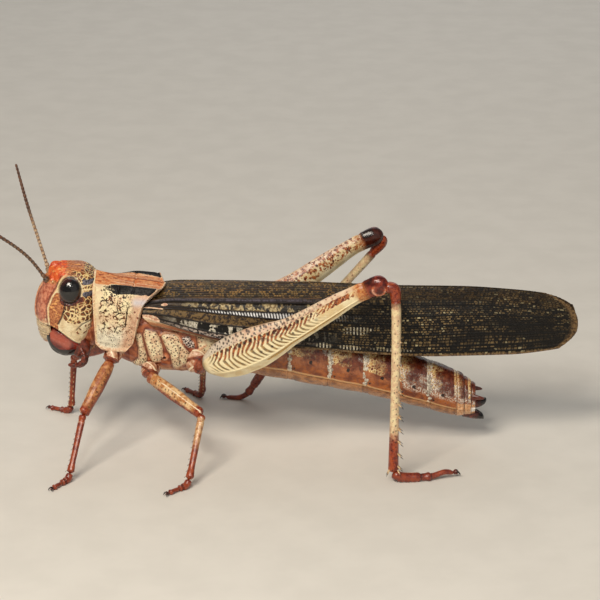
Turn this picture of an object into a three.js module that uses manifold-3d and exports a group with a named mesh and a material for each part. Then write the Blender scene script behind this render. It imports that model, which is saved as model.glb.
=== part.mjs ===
// A migratory locust, a large short-horned grasshopper, standing on its six feet: a life-size still model.
// Millimetres. x runs from the face back to the wing tips, y from the left side to the right,
// z up from the floor.
import * as THREE from "three";
import { mergeVertices } from "three/addons/utils/BufferGeometryUtils.js";
import Module from "manifold-3d";

// ---------- driving dimensions ----------
const LEFT = -1;
const RIGHT = 1;
const SIDES = [LEFT, RIGHT];
const FRONS_X = 4.2; // the foremost point of the face
const HEAD_TOP = 22.3;
const HEAD_LOW = 12.4;
const NECK_X = 10.9; // back of the head, front of the pronotum
const PRONOTUM_END_X = 19.1;
const WING_ROOT_X = 16.6;
const WING_TIP_X = 66.4;
const HINDWING_X = [27.5, 62.0];
const CHEST_END_X = 26.4;
const ABDOMEN_END_X = 54.9;
const FEELER_RADIUS = 0.27;
const SHEET = 0.5; // thickness of the wing covers and the pronotum's wall
const GAP = 0.05; // clearance left between neighbouring parts

const vec = (x, y, z) => new THREE.Vector3(x, y, z);
const between = (a, b, t) => a.map((c, i) => c + (b[i] - c) * t);
const pull = (c, power) => Math.sign(c) * Math.abs(c) ** power;
const nameOf = (side) => (side === LEFT ? "left" : "right");

// ---------- solids ----------
const wasm = await Module();
wasm.setup();

// A smooth function through [place, value] keys that never overshoots them.
function profile(...keys) {
  const last = keys.length - 1;
  const rise = keys.slice(1).map(([x, v], i) => (v - keys[i][1]) / (x - keys[i][0]));
  const slope = keys.map((_, i) => {
    if (i === 0) return rise[0];
    if (i === last) return rise[last - 1];
    const [a, b] = [rise[i - 1], rise[i]];
    return a * b <= 0 ? 0 : (2 * a * b) / (a + b);
  });
  return (x) => {
    if (x <= keys[0][0]) return keys[0][1];
    if (x >= keys[last][0]) return keys[last][1];
    const i = keys.findIndex(([place]) => place > x) - 1;
    const width = keys[i + 1][0] - keys[i][0];
    const t = (x - keys[i][0]) / width;
    const u = 1 - t;
    const ends = u * u * (1 + 2 * t) * keys[i][1] + t * t * (3 - 2 * t) * keys[i + 1][1];
    return ends + t * u * width * (u * slope[i] - t * slope[i + 1]);
  };
}

// Turns a three.js geometry into a solid whose faces point out.
function solidOf(geometry) {
  const bare = new THREE.BufferGeometry();
  bare.setAttribute("position", geometry.getAttribute("position").clone());
  bare.setIndex(geometry.index);
  const merged = mergeVertices(bare, 1e-5);
  const vertProperties = merged.attributes.position.array;
  const make = (triVerts) => new wasm.Manifold(new wasm.Mesh({ numProp: 3, vertProperties, triVerts }));
  const corners = new Uint32Array(merged.index.array);
  const solid = make(corners);
  return solid.volume() > 0 ? solid : make(corners.reverse());
}

function geometryOf(solid) {
  const mesh = solid.getMesh();
  const at = new Float32Array(mesh.numVert * 3);
  for (let i = 0; i < mesh.numVert; i++) {
    at.set(mesh.vertProperties.subarray(i * mesh.numProp, i * mesh.numProp + 3), i * 3);
  }
  const geometry = new THREE.BufferGeometry();
  geometry.setAttribute("position", new THREE.BufferAttribute(at, 3));
  geometry.setIndex(new THREE.BufferAttribute(new Uint32Array(mesh.triVerts), 1));
  geometry.computeVertexNormals();
  return geometry;
}

// A geometry with every vertex moved to place(vertex, its number).
function reshaped(geometry, place) {
  const at = geometry.getAttribute("position");
  for (let i = 0; i < at.count; i++) {
    const moved = place(vec(at.getX(i), at.getY(i), at.getZ(i)), i);
    at.setXYZ(i, moved.x, moved.y, moved.z);
  }
  return geometry;
}

// A closed body of rings: spine(t) is a ring's middle, and ring(t, angle) its outline measured from there.
function loft(sides, rings, spine, ring) {
  const place = (v) => {
    const outline = ring(v.y + 0.5, Math.atan2(v.z, v.x));
    return spine(v.y + 0.5).addScaledVector(outline, Math.hypot(v.x, v.z));
  };
  return solidOf(reshaped(new THREE.CylinderGeometry(1, 1, 1, sides, rings), place));
}

// A bent sheet: place(u, v, side) takes u and v from 0 to 1, and side is 1 on its outer face
// and 0 on its inner one.
function sheet(along, across, place) {
  const block = new THREE.BoxGeometry(1, 1, 1, along, across, 1);
  return solidOf(reshaped(block, (v) => place(v.x + 0.5, v.y + 0.5, v.z + 0.5)));
}

// A trunk lying along x, from its top, bottom and half width at each x. Power below 1 squares its section.
function trunk(sides, rings, [x0, x1], top, bottom, half, power) {
  const xAt = (t) => x0 + (x1 - x0) * t;
  const spine = (t) => vec(xAt(t), 0, (top(xAt(t)) + bottom(xAt(t))) / 2);
  return loft(sides, rings, spine, (t, a) => {
    const x = xAt(t);
    const tall = (top(x) - bottom(x)) / 2;
    return vec(0, half(x) * pull(Math.sin(a), power), tall * pull(Math.cos(a), power));
  });
}

// A limb along a curve through points. deep(t) and wide(t) are its half sizes;
// deep is the one nearest to upright.
function limb(sides, rings, points, deep, wide = deep, upright = vec(0, 0, 1)) {
  const curve = new THREE.CatmullRomCurve3(points.map((p) => vec(...p)), false, "centripetal");
  const spine = (t) => curve.getPointAt(t);
  return loft(sides, rings, spine, (t, a) => {
    const along = curve.getTangentAt(t);
    const up = upright.clone().addScaledVector(along, -upright.dot(along)).normalize();
    const across = along.clone().cross(up);
    return up.multiplyScalar(deep(t) * Math.cos(a)).addScaledVector(across, wide(t) * Math.sin(a));
  });
}

function ellipsoid([columns, rows], centre, radii, [roll, tilt] = [0, 0]) {
  const geometry = new THREE.SphereGeometry(1, columns, rows);
  geometry.scale(...radii);
  geometry.rotateY(tilt);
  geometry.rotateX(roll);
  geometry.translate(...centre);
  return solidOf(geometry);
}

// A prism whose outline is drawn in the x-z plane, reaching across the whole body.
function sideCutter(outline) {
  const reach = 40;
  const shape = new THREE.Shape(outline.map(([x, z]) => new THREE.Vector2(x, z)));
  const prism = new THREE.ExtrudeGeometry(shape, { depth: reach, bevelEnabled: false });
  prism.rotateX(Math.PI / 2);
  prism.translate(0, reach / 2, 0);
  return solidOf(prism);
}

// The solid with its surface moved out by the clearance, for cutting its neighbours.
function grown(solid) {
  const geometry = geometryOf(solid);
  const normal = geometry.getAttribute("normal");
  const outward = (i) => vec(normal.getX(i), normal.getY(i), normal.getZ(i));
  return solidOf(reshaped(geometry, (v, i) => v.addScaledVector(outward(i), GAP)));
}

// A solid cut clear of its neighbours, of which the largest piece is kept.
function clearOf(solid, ...neighbours) {
  const cut = neighbours.reduce((rest, other) => rest.subtract(grown(other)), solid);
  return cut.decompose().sort((a, b) => b.volume() - a.volume())[0];
}

// ---------- materials ----------
const finish = (color, roughness) => new THREE.MeshStandardMaterial({ color, roughness, metalness: 0 });
const FINISHES = {
  head_shell: finish(0xc98b5a, 0.5),
  mouth: finish(0x6e1710, 0.25),
  lip: finish(0xb9ab97, 0.45),
  eye: finish(0x120a08, 0.1),
  feeler: finish(0x6b4630, 0.5),
  pronotum_shell: finish(0xcfae8e, 0.5),
  thorax_shell: finish(0xb98a66, 0.5),
  wing_cover: finish(0x2a221b, 0.45),
  wing: finish(0x8d8067, 0.4),
  abdomen_shell: finish(0x9a5a38, 0.35),
  leg_shell: finish(0xa5673f, 0.5),
  hind_leg_shell: finish(0xdcc48f, 0.5),
  foot: finish(0x8b2f1a, 0.4),
};

const insect = new THREE.Group();
function add(name, kind, solid) {
  const mesh = new THREE.Mesh(geometryOf(solid), FINISHES[kind]);
  mesh.name = name;
  insect.add(mesh);
  return solid;
}

// ---------- head ----------
// The outline at each height: how far forward and back it reaches, and its half width.
const headFront = profile(
  [12.4, 4.9], [15.3, 4.35], [16.7, FRONS_X], [18.5, 4.5], [20.1, 5.45], [20.7, 5.85], [21.4, 5.95],
  [21.9, 6.2], [22.3, 7.3],
);
const headBack = profile(
  [12.4, 9.1], [13.2, 9.35], [15, 10.1], [16.8, 10.6], [18.5, 10.85], [21.3, 10.85], [22, 9.6], [22.3, 8.3],
);
const headHalf = profile(
  [12.4, 2.3], [14, 2.85], [16.5, 3.3], [18.5, 3.2], [20, 2.85], [21, 2.35], [21.8, 1.5], [22.3, 0.2],
);
const HEAD_MIDDLE = 0.42; // where along each outline its widest point lies
const headHeight = (t) => HEAD_LOW + (HEAD_TOP - HEAD_LOW) * Math.sin((t * Math.PI) / 2) ** 0.9;
const headSpine = (t) => {
  const z = headHeight(t);
  return vec(headBack(z) + (headFront(z) - headBack(z)) * HEAD_MIDDLE, 0, z);
};
const headRing = (t, a) => {
  const z = headHeight(t);
  const length = headBack(z) - headFront(z);
  const forward = Math.cos(a) < 0;
  const reach = length * (forward ? 1 - HEAD_MIDDLE : HEAD_MIDDLE);
  return vec(reach * pull(Math.cos(a), forward ? 1.1 : 0.75), headHalf(z) * pull(Math.sin(a), 0.85), 0);
};
const MOUTH_OPENING = [[2, 15.35], [5.9, 15.35], [9.6, 12.95], [13, 12.5], [13, 5], [2, 5]];
const head = add("head", "head_shell", loft(16, 10, headSpine, headRing).subtract(sideCutter(MOUTH_OPENING)));

for (const side of SIDES) {
  const ball = ellipsoid([11, 7], [8.42, 2.75 * side, 19.63], [1.27, 1.02, 1.42], [0.12 * side, 0.14]);
  add(`eye_${nameOf(side)}`, "eye", clearOf(ball, head));
}

// ---------- mouthparts ----------
const LIP_DEPTH = 1.1;
const lipPlate = (z0, z1, x0, x1, half) =>
  sheet(2, 6, (u, v, out) => {
    const s = 2 * v - 1;
    return vec(x0 + (x1 - x0) * u + 0.9 * s * s + (1 - out) * LIP_DEPTH, half(u) * s, z0 + (z1 - z0) * u);
  });
const clypeusPlate = lipPlate(15.28, 14.25, 4.32, 4.42, (u) => 2.05 - 0.2 * u);
const clypeus = add("clypeus", "lip", clearOf(clypeusPlate, head));
const labrum = add("labrum", "lip", lipPlate(14.19, 12.85, 4.5, 5.0, (u) => 1.8 - 0.55 * u * u));

const jaws = {};
for (const side of SIDES) {
  const lump = ellipsoid([10, 6], [7.25, side * 1.42, 13.25], [2.25, 1.36, 1.8], [0, 0.56]);
  jaws[side] = add(`mandible_${nameOf(side)}`, "mouth", clearOf(lump, head, clypeus, labrum));
}
const lowerLip = ellipsoid([10, 6], [9.2, 0, 12.15], [1.15, 1.9, 1.35], [0, -0.2]);
const labium = add("labium", "mouth", clearOf(lowerLip, head, jaws[LEFT], jaws[RIGHT]));
const palpGirth = profile([0, 0.3], [0.75, 0.29], [1, 0.26]);
for (const side of SIDES) {
  const outer = [
    [9.3, side * 2.2, 12.5], [9.75, side * 2.75, 11.4], [9.0, side * 2.7, 10.55], [7.8, side * 2.3, 10.4],
  ];
  const outerPalp = clearOf(limb(6, 6, outer, palpGirth), head, jaws[side], labium);
  add(`maxillary_palp_${nameOf(side)}`, "mouth", outerPalp);
  const inner = [[9.9, side * 1.2, 11.2], [9.6, side * 1.45, 10.3], [8.8, side * 1.3, 9.8]];
  add(`labial_palp_${nameOf(side)}`, "mouth", clearOf(limb(6, 4, inner, palpGirth), labium));
}

// ---------- feelers ----------
const FEELERS = {
  [LEFT]: [[5.75, -1.0, 20.1], [3.5, -2.0, 23.6], [-0.3, -3.4, 27.0], [-4.2, -4.6, 29.4]],
  [RIGHT]: [[5.7, 1.0, 20.55], [4.5, 1.9, 24.2], [3.25, 3.0, 28.0], [1.95, 4.4, 32.5]],
};
const feelerGirth = profile([0, 0.36], [0.06, 0.34], [0.1, FEELER_RADIUS], [1, FEELER_RADIUS - 0.02]);
for (const side of SIDES) {
  add(`antenna_${nameOf(side)}`, "feeler", clearOf(limb(6, 8, FEELERS[side], feelerGirth), head));
}

// ---------- pronotum ----------
// The saddle's section at each x: a nearly flat top, a shoulder, and a lobe hanging down the side.
// q runs from its ridge (0) over the shoulder (at TOP_SHARE) to its lower edge (1).
const TOP_SHARE = 0.34;
const ridgeHeight = profile(
  [10.9, 21.15], [12.7, 20.6], [13.6, 20.3], [15.7, 20.05], [17.8, 19.75], [19.1, 19.5],
);
const topHalf = profile([10.9, 2.0], [12.6, 1.85], [14.2, 2.35], [16, 2.85], [18, 2.95], [19.2, 2.9]);
const topDrop = profile([10.9, 0.75], [12.6, 0.5], [14.2, 0.2], [16, 0.04], [19.1, 0]);
const lobeHalf = profile([10.9, 3.5], [12.6, 3.6], [14.6, 3.95], [17, 4.1], [19, 4.0]);
const lobeLow = profile([10.9, 13.7], [11.8, 12.7], [12.8, 12.45], [14.4, 12.5], [16, 12.7]);
const lobeReach = profile([0, 0], [0.1, 0.45], [0.25, 0.82], [0.45, 1], [0.75, 0.98], [1, 0.8]);
const frontEdge = profile([0, NECK_X + 0.05], [0.4, NECK_X + 0.05], [1, NECK_X + 0.25]);
const hindEdge = profile(
  [0, PRONOTUM_END_X], [0.15, 18.85], [0.34, 18.3], [0.42, 17.5], [0.55, 16.55], [0.75, 15.95], [0.92, 15.45],
  [1, 14.5],
);
const pronotumAt = (u, v, inward) => {
  const side = v < 0.5 ? LEFT : RIGHT;
  const q = Math.abs(2 * v - 1);
  const x = frontEdge(q) + (hindEdge(q) - frontEdge(q)) * u;
  const shoulder = ridgeHeight(x) - topDrop(x);
  if (q <= TOP_SHARE) {
    const s = q / TOP_SHARE;
    return vec(x, side * s * (topHalf(x) - 0.5 * inward), shoulder + topDrop(x) * (1 - s ** 1.5) - inward);
  }
  const s = (q - TOP_SHARE) / (1 - TOP_SHARE);
  const half = topHalf(x) + (lobeHalf(x) - topHalf(x)) * lobeReach(s);
  const fall = 0.15 * s + 0.85 * s ** 1.15;
  return vec(x, side * (half - inward), shoulder - inward * (1 - s) - (shoulder - lobeLow(x)) * fall);
};
const saddle = sheet(6, 16, (u, v, out) => pronotumAt(u, v, SHEET * (1 - out)));
const pronotum = add("pronotum", "pronotum_shell", saddle);

// ---------- thorax ----------
const chestTop = profile([10.9, 19.9], [12, 19.7], [14.8, 18.9], [18, 17.7], [22, 17.4], [26.5, 16.4]);
const chestLow = profile([10.9, 12.9], [12, 11.7], [14.8, 10.2], [17.5, 9.3], [22, 9.15], [26.5, 9.6]);
const chestHalf = profile([10.9, 2.2], [12.5, 2.6], [14.8, 3.0], [17, 3.35], [22, 3.45], [26.5, 3.1]);
const chest = (x0, x1) => clearOf(trunk(14, 3, [x0, x1], chestTop, chestLow, chestHalf, 0.8), pronotum);
const prothorax = add("prothorax", "thorax_shell", chest(11.2, 14.7));
const mesothorax = add("mesothorax", "thorax_shell", chest(14.7 + GAP, 20.6));
const metathorax = add("metathorax", "thorax_shell", chest(20.6 + GAP, CHEST_END_X));
const collar = ellipsoid([8, 6], [10.7, 0, 15.4], [1.5, 2.3, 3.4], [0, 0.25]);
add("neck", "thorax_shell", clearOf(collar, head, prothorax, pronotum, labium));

// ---------- abdomen ----------
const bellyTop = profile(
  [26.4, 16], [33, 15], [37, 13.9], [41.5, 12.7], [46, 11.2], [50, 9.7], [53, 8.4], [54.9, 7],
);
const bellyLow = profile(
  [26.4, 9.2], [33, 8], [37, 7.2], [41.5, 6.35], [46, 5.2], [50, 4.1], [53, 3.4], [54.9, 3.6],
);
const bellyHalf = profile([26.4, 3.05], [33, 2.9], [41.5, 2.75], [48, 2.5], [53, 2.1], [54.9, 1.4]);
const JOINTS_X = [CHEST_END_X + GAP, 28.9, 33.0, 37.6, 41.7, 45.5, 49.1, 52.3, 53.9, ABDOMEN_END_X];
const belly = (i) => {
  const ends = [JOINTS_X[i] + GAP / 2, JOINTS_X[i + 1] - GAP / 2];
  return trunk(12, 2, ends, bellyTop, bellyLow, bellyHalf, 0.92);
};
const SEGMENTS = 8;
for (let i = 0; i < SEGMENTS; i++) {
  add(`abdomen_segment_${i + 1}`, "abdomen_shell", belly(i));
}
const tail = add("abdomen_end", "abdomen_shell", belly(SEGMENTS));
const upperHalf = profile([0, 0.75], [0.6, 0.55], [1, 0.27]);
const valveWidth = profile([0, 0.9], [1, 0.3]);
const upperValves = limb(8, 4, [[54.3, 0, 4.9], [55.3, 0, 4.75], [56.2, 0, 5.1]], upperHalf, valveWidth);
add("ovipositor_upper", "mouth", clearOf(upperValves, tail));
const lowerValves = limb(8, 4, [[53.9, 0, 3.75], [55.1, 0, 3.35], [56, 0, 2.95]], upperHalf, valveWidth);
add("ovipositor_lower", "mouth", clearOf(lowerValves, tail));
for (const side of SIDES) {
  const cone = [[54.4, side * 1.15, 6], [55.3, side * 1.45, 5.95], [55.8, side * 1.5, 5.9]];
  add(`cercus_${nameOf(side)}`, "abdomen_shell", clearOf(limb(6, 3, cone, feelerGirth), tail));
}

// ---------- wing covers and wings ----------
// v runs from a cover's inner edge over the back to the fold (at BACK_SHARE) and down the flank to its hem.
const BACK_SHARE = 0.32;
const crestHeight = profile(
  [16.6, 18.7], [19.6, 19.35], [34.5, 19.5], [46, 19.1], [53, 19], [58.5, 18.65], [63, 18.1], [66.4, 17.2],
);
const foldHeight = profile(
  [16.6, 18.2], [20.5, 18.75], [34.5, 18.6], [46, 18.1], [53, 18], [60, 17.4], [66.4, 16.4],
);
const foldHalf = profile([16.6, 2.85], [22, 2.95], [34, 2.7], [46, 1.9], [54, 1.45], [66.4, 0.95]);
const hemHeight = profile(
  [16.6, 16.1], [21, 15.1], [25.5, 14], [31, 13.3], [36.6, 12.9], [42, 12.3], [51, 11.75], [58.6, 11.75],
  [62.2, 12], [66.4, 12.6],
);
const hemHalf = profile([16.6, 3.95], [25, 4.25], [33, 4], [42, 3.55], [51, 2.95], [58.6, 2.4], [66.4, 1.6]);
const flankBulge = profile([16.6, 0.35], [30, 0.5], [45, 0.5], [60, 0.35], [66.4, 0.2]);
const coverRoot = profile([0, 17.4], [BACK_SHARE, 16.7], [0.7, WING_ROOT_X], [1, 17.6]);
const coverTip = (v) => WING_TIP_X - 3.6 * Math.abs((v - 0.55) / 0.55) ** 2.6;
const OVERLAP = { [LEFT]: 0.55, [RIGHT]: -0.35 }; // the left cover lies over the right one along the back
const coverAt = (side, u, v, inward) => {
  const x = coverRoot(v) + (coverTip(v) - coverRoot(v)) * u;
  if (v <= BACK_SHARE) {
    const s = v / BACK_SHARE;
    const y = -OVERLAP[side] + (foldHalf(x) + OVERLAP[side]) * s - 0.4 * inward * s;
    return vec(x, side * y, crestHeight(x) + (foldHeight(x) - crestHeight(x)) * s ** 1.6 - inward);
  }
  const s = (v - BACK_SHARE) / (1 - BACK_SHARE);
  const bulge = flankBulge(x) * Math.sin(Math.PI * s ** 0.8);
  const half = foldHalf(x) + (hemHalf(x) - foldHalf(x)) * s ** 0.75 + bulge;
  const y = half - inward * (0.4 + 0.6 * Math.min(1, 3 * s));
  return vec(x, side * y, foldHeight(x) + (hemHeight(x) - foldHeight(x)) * s - inward * (1 - s) ** 2);
};
const covers = {};
for (const side of SIDES) {
  const cover = sheet(11, 7, (u, v, out) => coverAt(side, u, v, SHEET * (1 - out)));
  const above = side === RIGHT ? [covers[LEFT]] : [];
  const shell = clearOf(cover, ...above, pronotum, mesothorax, metathorax);
  covers[side] = add(`tegmen_${nameOf(side)}`, "wing_cover", shell);
}

// The hind wings lie pleated like a shut fan between the covers and the abdomen.
const PLEATS = 6;
const PLEAT_DEPTH = 0.3;
const fanAt = (side, u, v, out) => {
  const x = HINDWING_X[0] + (HINDWING_X[1] - HINDWING_X[0]) * u;
  const roof = foldHeight(x) - 1;
  const floor = Math.min(Math.max(bellyTop(x) + 0.35, roof - 2.6 * (1 - 0.65 * u)), roof - 0.75);
  const lower = PLEAT_DEPTH * (Math.round(v * PLEATS) % 2) + 0.25 * v;
  return vec(x, side * (0.25 + 0.8 * (foldHalf(x) - 0.55) * v), (out ? roof : floor) - lower);
};
for (const side of SIDES) {
  const fan = sheet(6, PLEATS, (u, v, out) => fanAt(side, u, v, out));
  add(`hindwing_${nameOf(side)}`, "wing", clearOf(fan, covers[LEFT], covers[RIGHT], metathorax));
}

// ---------- legs ----------
const floorCutter = sideCutter([[-30, 0], [90, 0], [90, -20], [-30, -20]]);
const standing = (tarsus, tibia) => clearOf(tarsus.subtract(floorCutter), tibia);

// Joints of the fore and middle legs from the body outwards; the toe is the tip of the claws.
const WALKING_LEGS = [
  {
    name: "fore_left", side: LEFT, slim: 0.92, stout: 1.5, hip: [13.2, -2.1, 12.3], socket: [12.7, -3.3, 11],
    knee: [9.9, -7.9, 6.55], ankle: [8.6, -11.6, 0.95], toe: [6.9, -14.1, 0.3],
  },
  {
    name: "fore_right", side: RIGHT, slim: 0.92, stout: 1.5, hip: [13.2, 2.1, 12.3], socket: [12.6, 3.3, 11],
    knee: [7.5, 7.5, 7.8], ankle: [6.9, 7.9, 0.95], toe: [4.2, 9.2, 0.3],
  },
  {
    name: "mid_left", side: LEFT, slim: 1, stout: 1.28, hip: [17.3, -2.4, 10.3], socket: [17.3, -3.7, 9.5],
    knee: [23.4, -8.5, 6.8], ankle: [22.1, -13.3, 0.95], toe: [19.9, -15.4, 0.3],
  },
  {
    name: "mid_right", side: RIGHT, slim: 1, stout: 1.28, hip: [17.3, 2.4, 10.3], socket: [17.4, 3.7, 9.5],
    knee: [22.9, 8.6, 7], ankle: [22.5, 12.7, 0.95], toe: [20.4, 14.9, 0.3],
  },
];
const coxaDeep = profile([0, 1], [0.6, 0.95], [1, 0.62]);
const coxaWide = profile([0, 1.15], [0.6, 0.95], [1, 0.62]);
const thighGirth = profile([0, 0.46], [0.08, 0.54], [0.45, 0.6], [0.85, 0.49], [0.94, 0.51], [1, 0.42]);
const shinGirth = profile([0, 0.45], [0.1, 0.42], [0.8, 0.37], [0.95, 0.42], [1, 0.36]);
const FOOT_HALF = 0.42;
const footGirth = profile(
  [0, 0.33], [0.12, 0.42], [0.36, 0.42], [0.42, 0.31], [0.5, 0.4], [0.56, 0.29], [0.85, 0.3], [0.92, 0.36],
  [1, 0.29],
);
// A foot lies along the floor from the ankle to the claws, pressed a little flat on its pads.
const footPath = (ankle, toe) => {
  const onFloor = (t, height) => [...between(ankle, toe, t).slice(0, 2), height];
  const rest = 0.7 * FOOT_HALF;
  return [ankle, onFloor(0.14, rest + 0.12), onFloor(0.45, rest), onFloor(0.75, rest), onFloor(1, 0.24)];
};
for (const { name, side, slim, stout, hip, socket, knee, ankle, toe } of WALKING_LEGS) {
  const hipJoint = limb(7, 3, [hip, between(hip, socket, 0.6), socket], coxaDeep, coxaWide);
  const hipShell = clearOf(hipJoint, prothorax, mesothorax, metathorax, pronotum);
  const coxa = add(`${name}_coxa`, "leg_shell", hipShell);
  const thighDepth = (t) => slim * stout * thighGirth(t);
  const thighWidth = (t) => slim * 0.8 * stout * thighGirth(t);
  const thigh = limb(7, 5, [socket, knee], thighDepth, thighWidth);
  const femur = add(`${name}_femur`, "leg_shell", clearOf(thigh, coxa));
  const shinHalf = (t) => slim * 1.12 * shinGirth(t);
  const shinPath = [knee, between(knee, ankle, 0.5), ankle];
  const shin = limb(7, 5, shinPath, shinHalf, shinHalf, vec(0.3, side, 0));
  const tibia = add(`${name}_tibia`, "leg_shell", clearOf(shin, femur));
  add(`${name}_tarsus`, "foot", standing(limb(6, 8, footPath(ankle, toe), footGirth), tibia));
}

// Hind legs: the thigh is deep and flattened, deepest near its root, and swells again at the knee.
const HIND_LEGS = [
  {
    side: LEFT,
    hip: [22.6, -3.0, 11.3],
    thigh: [
      [23.4, -4.45, 11.1], [27.6, -4.95, 12.75], [33.4, -5.65, 15.8], [41.1, -6.65, 20.75],
      [44.3, -7.05, 22.2],
    ],
    shin: [[43.9, -7.05, 21.6], [44.95, -7.1, 21.4], [45.2, -7.5, 19.8], [45.0, -11.8, 1.15]],
    foot: [
      [45.7, -11.75, 0.6], [48.3, -11.5, 0.44], [49.4, -11.3, 0.46], [50.9, -10.9, 0.8], [51.9, -10.6, 0.55],
    ],
  },
  {
    side: RIGHT,
    hip: [22.6, 3.0, 11.6],
    thigh: [[23.5, 4.5, 11.6], [27.6, 5.4, 13.25], [33.4, 6.9, 16.5], [41.2, 8.8, 21.3], [44.3, 9.5, 22.5]],
    shin: [[43.9, 9.5, 22.0], [44.2, 9.6, 21.4], [43.2, 9.7, 20.0], [30.6, 11.4, 4.9]],
    foot: [[29.9, 11.6, 3.9], [28.6, 12.0, 1.7], [27.9, 12.2, 0.75], [27.0, 12.4, 0.27], [25.4, 12.7, 0.2]],
  },
];
const thighDeep = profile(
  [0, 0.68], [0.04, 1.42], [0.1, 2.05], [0.19, 2.37], [0.26, 2.36], [0.38, 1.95], [0.47, 1.5], [0.7, 1.17],
  [0.85, 0.91], [0.95, 1.17], [1, 0.8],
);
const thighWide = profile(
  [0, 0.55], [0.08, 0.95], [0.25, 1.15], [0.5, 0.9], [0.75, 0.66], [0.88, 0.62], [0.95, 0.85], [1, 0.6],
);
const hindCoxaDeep = profile([0, 1.5], [0.5, 1.3], [1, 0.8]);
const hindCoxaWide = profile([0, 1.5], [0.5, 1.2], [1, 0.6]);
const shankGirth = profile([0, 0.6], [0.05, 0.63], [0.12, 0.54], [0.6, 0.49], [0.9, 0.55], [1, 0.58]);
const hindFootGirth = profile(
  [0, 0.58], [0.1, 0.58], [0.4, 0.55], [0.5, 0.45], [0.58, 0.52], [0.66, 0.38], [0.9, 0.34], [1, 0.28],
);
for (const { side, hip, thigh, shin, foot } of HIND_LEGS) {
  const name = `hind_${nameOf(side)}`;
  const hipJoint = limb(8, 4, [hip, between(hip, thigh[0], 0.6), thigh[0]], hindCoxaDeep, hindCoxaWide);
  const coxa = add(`${name}_coxa`, "leg_shell", clearOf(hipJoint, mesothorax, metathorax, covers[side]));
  const upperLeg = limb(11, 12, thigh, thighDeep, thighWide);
  const femur = add(`${name}_femur`, "hind_leg_shell", clearOf(upperLeg, coxa, covers[side]));
  const lowerLeg = limb(8, 9, shin, shankGirth, shankGirth, vec(1, 0, 0));
  const tibia = add(`${name}_tibia`, "hind_leg_shell", clearOf(lowerLeg, femur));
  add(`${name}_tarsus`, "foot", standing(limb(6, 8, [shin.at(-1), ...foot], hindFootGirth), tibia));
}

// ---------- frame ----------
// The origin is on the floor, under the middle of the whole model's box.
const box = new THREE.Box3().setFromObject(insect);
const middle = box.getCenter(vec(0, 0, 0));
insect.position.set(-middle.x, -middle.y, -box.min.z);

export default insect;
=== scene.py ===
import bmesh
import bpy
import numpy as np
from mathutils import Euler, Matrix, Vector


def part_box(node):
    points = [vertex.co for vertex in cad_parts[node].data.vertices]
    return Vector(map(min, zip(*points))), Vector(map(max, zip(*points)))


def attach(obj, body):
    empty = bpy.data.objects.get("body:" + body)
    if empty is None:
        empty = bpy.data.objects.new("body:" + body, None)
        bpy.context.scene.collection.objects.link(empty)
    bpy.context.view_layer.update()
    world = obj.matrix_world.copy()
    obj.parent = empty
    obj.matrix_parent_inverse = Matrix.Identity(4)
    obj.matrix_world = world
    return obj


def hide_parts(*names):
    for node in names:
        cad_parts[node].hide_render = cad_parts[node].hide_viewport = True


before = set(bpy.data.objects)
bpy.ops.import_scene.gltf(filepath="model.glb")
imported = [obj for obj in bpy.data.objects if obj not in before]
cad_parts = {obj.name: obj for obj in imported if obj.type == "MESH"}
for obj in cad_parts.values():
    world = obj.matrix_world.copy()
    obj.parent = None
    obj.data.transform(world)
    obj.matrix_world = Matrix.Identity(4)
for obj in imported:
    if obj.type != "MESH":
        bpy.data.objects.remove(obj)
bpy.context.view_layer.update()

# A migratory locust standing on its six feet, life size, as a still museum model.
# Shapes are worked out in millimetres in the insect's own frame: x from the face back to the wing tips,
# y from the left side to the right, z up from the floor. on_row() turns them into metres in the row's frame.
LEFT = -1
RIGHT = 1
SIDES = (LEFT, RIGHT)
SIDE_NAMES = {LEFT: "left", RIGHT: "right"}
MM = 0.001
WING_TIP_X = 66.4
TAU = 2 * np.pi
ORIGIN = np.array([
    WING_TIP_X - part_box("tegmen_left")[1].x / MM,
    -(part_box("eye_left")[0].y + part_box("eye_right")[1].y) / 2 / MM,
    0.0,
])


def on_row(places):
    return (np.asarray(places, float) - ORIGIN) * MM


# ---------- curves and functions ----------
def profile(*keys):
    """A smooth function through (place, value) keys that never overshoots them."""
    at, value = (np.array(column, float) for column in zip(*keys))
    steep = np.diff(value) / np.diff(at)
    before, after = steep[:-1], steep[1:]
    alike = before * after > 0
    inner = np.where(alike, 2 * before * after / np.where(alike, before + after, 1), 0)
    slope = np.concatenate([steep[:1], inner, steep[-1:]])

    def read(x):
        x = np.clip(x, at[0], at[-1])
        i = np.clip(np.searchsorted(at, x, side="right") - 1, 0, len(at) - 2)
        width = at[i + 1] - at[i]
        t = (x - at[i]) / width
        s = 1 - t
        ends = s * s * (1 + 2 * t) * value[i] + t * t * (3 - 2 * t) * value[i + 1]
        return ends + t * s * width * (s * slope[i] - t * slope[i + 1])

    return read


def pull(c, power):
    """A sine or cosine raised to a power with its sign kept, so a section is squarer or more pointed."""
    return np.sign(c) * np.abs(c) ** power


def unit(x):
    """x kept between 0 and 1."""
    return np.clip(x, 0, 1)


def rise(low, high, x):
    """0 at low and 1 at high, with an even rise between them."""
    t = unit((x - low) / (high - low))
    return t * t * (3 - 2 * t)


def window(x, a, b, c, d):
    """1 from b to c, fading to nothing at a and at d."""
    return rise(a, b, x) * rise(d, c, x)


def hump(distance, width):
    return np.exp(-((distance / width) ** 2))


def between(a, b, t):
    return [p + (q - p) * t for p, q in zip(a, b)]


def stack(x, y, z):
    return np.stack(np.broadcast_arrays(x, y, z), -1)


def side_view(places):
    """The places as seen from the side: how far along the insect, and how high."""
    return places[..., [0, 2]]


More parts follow.
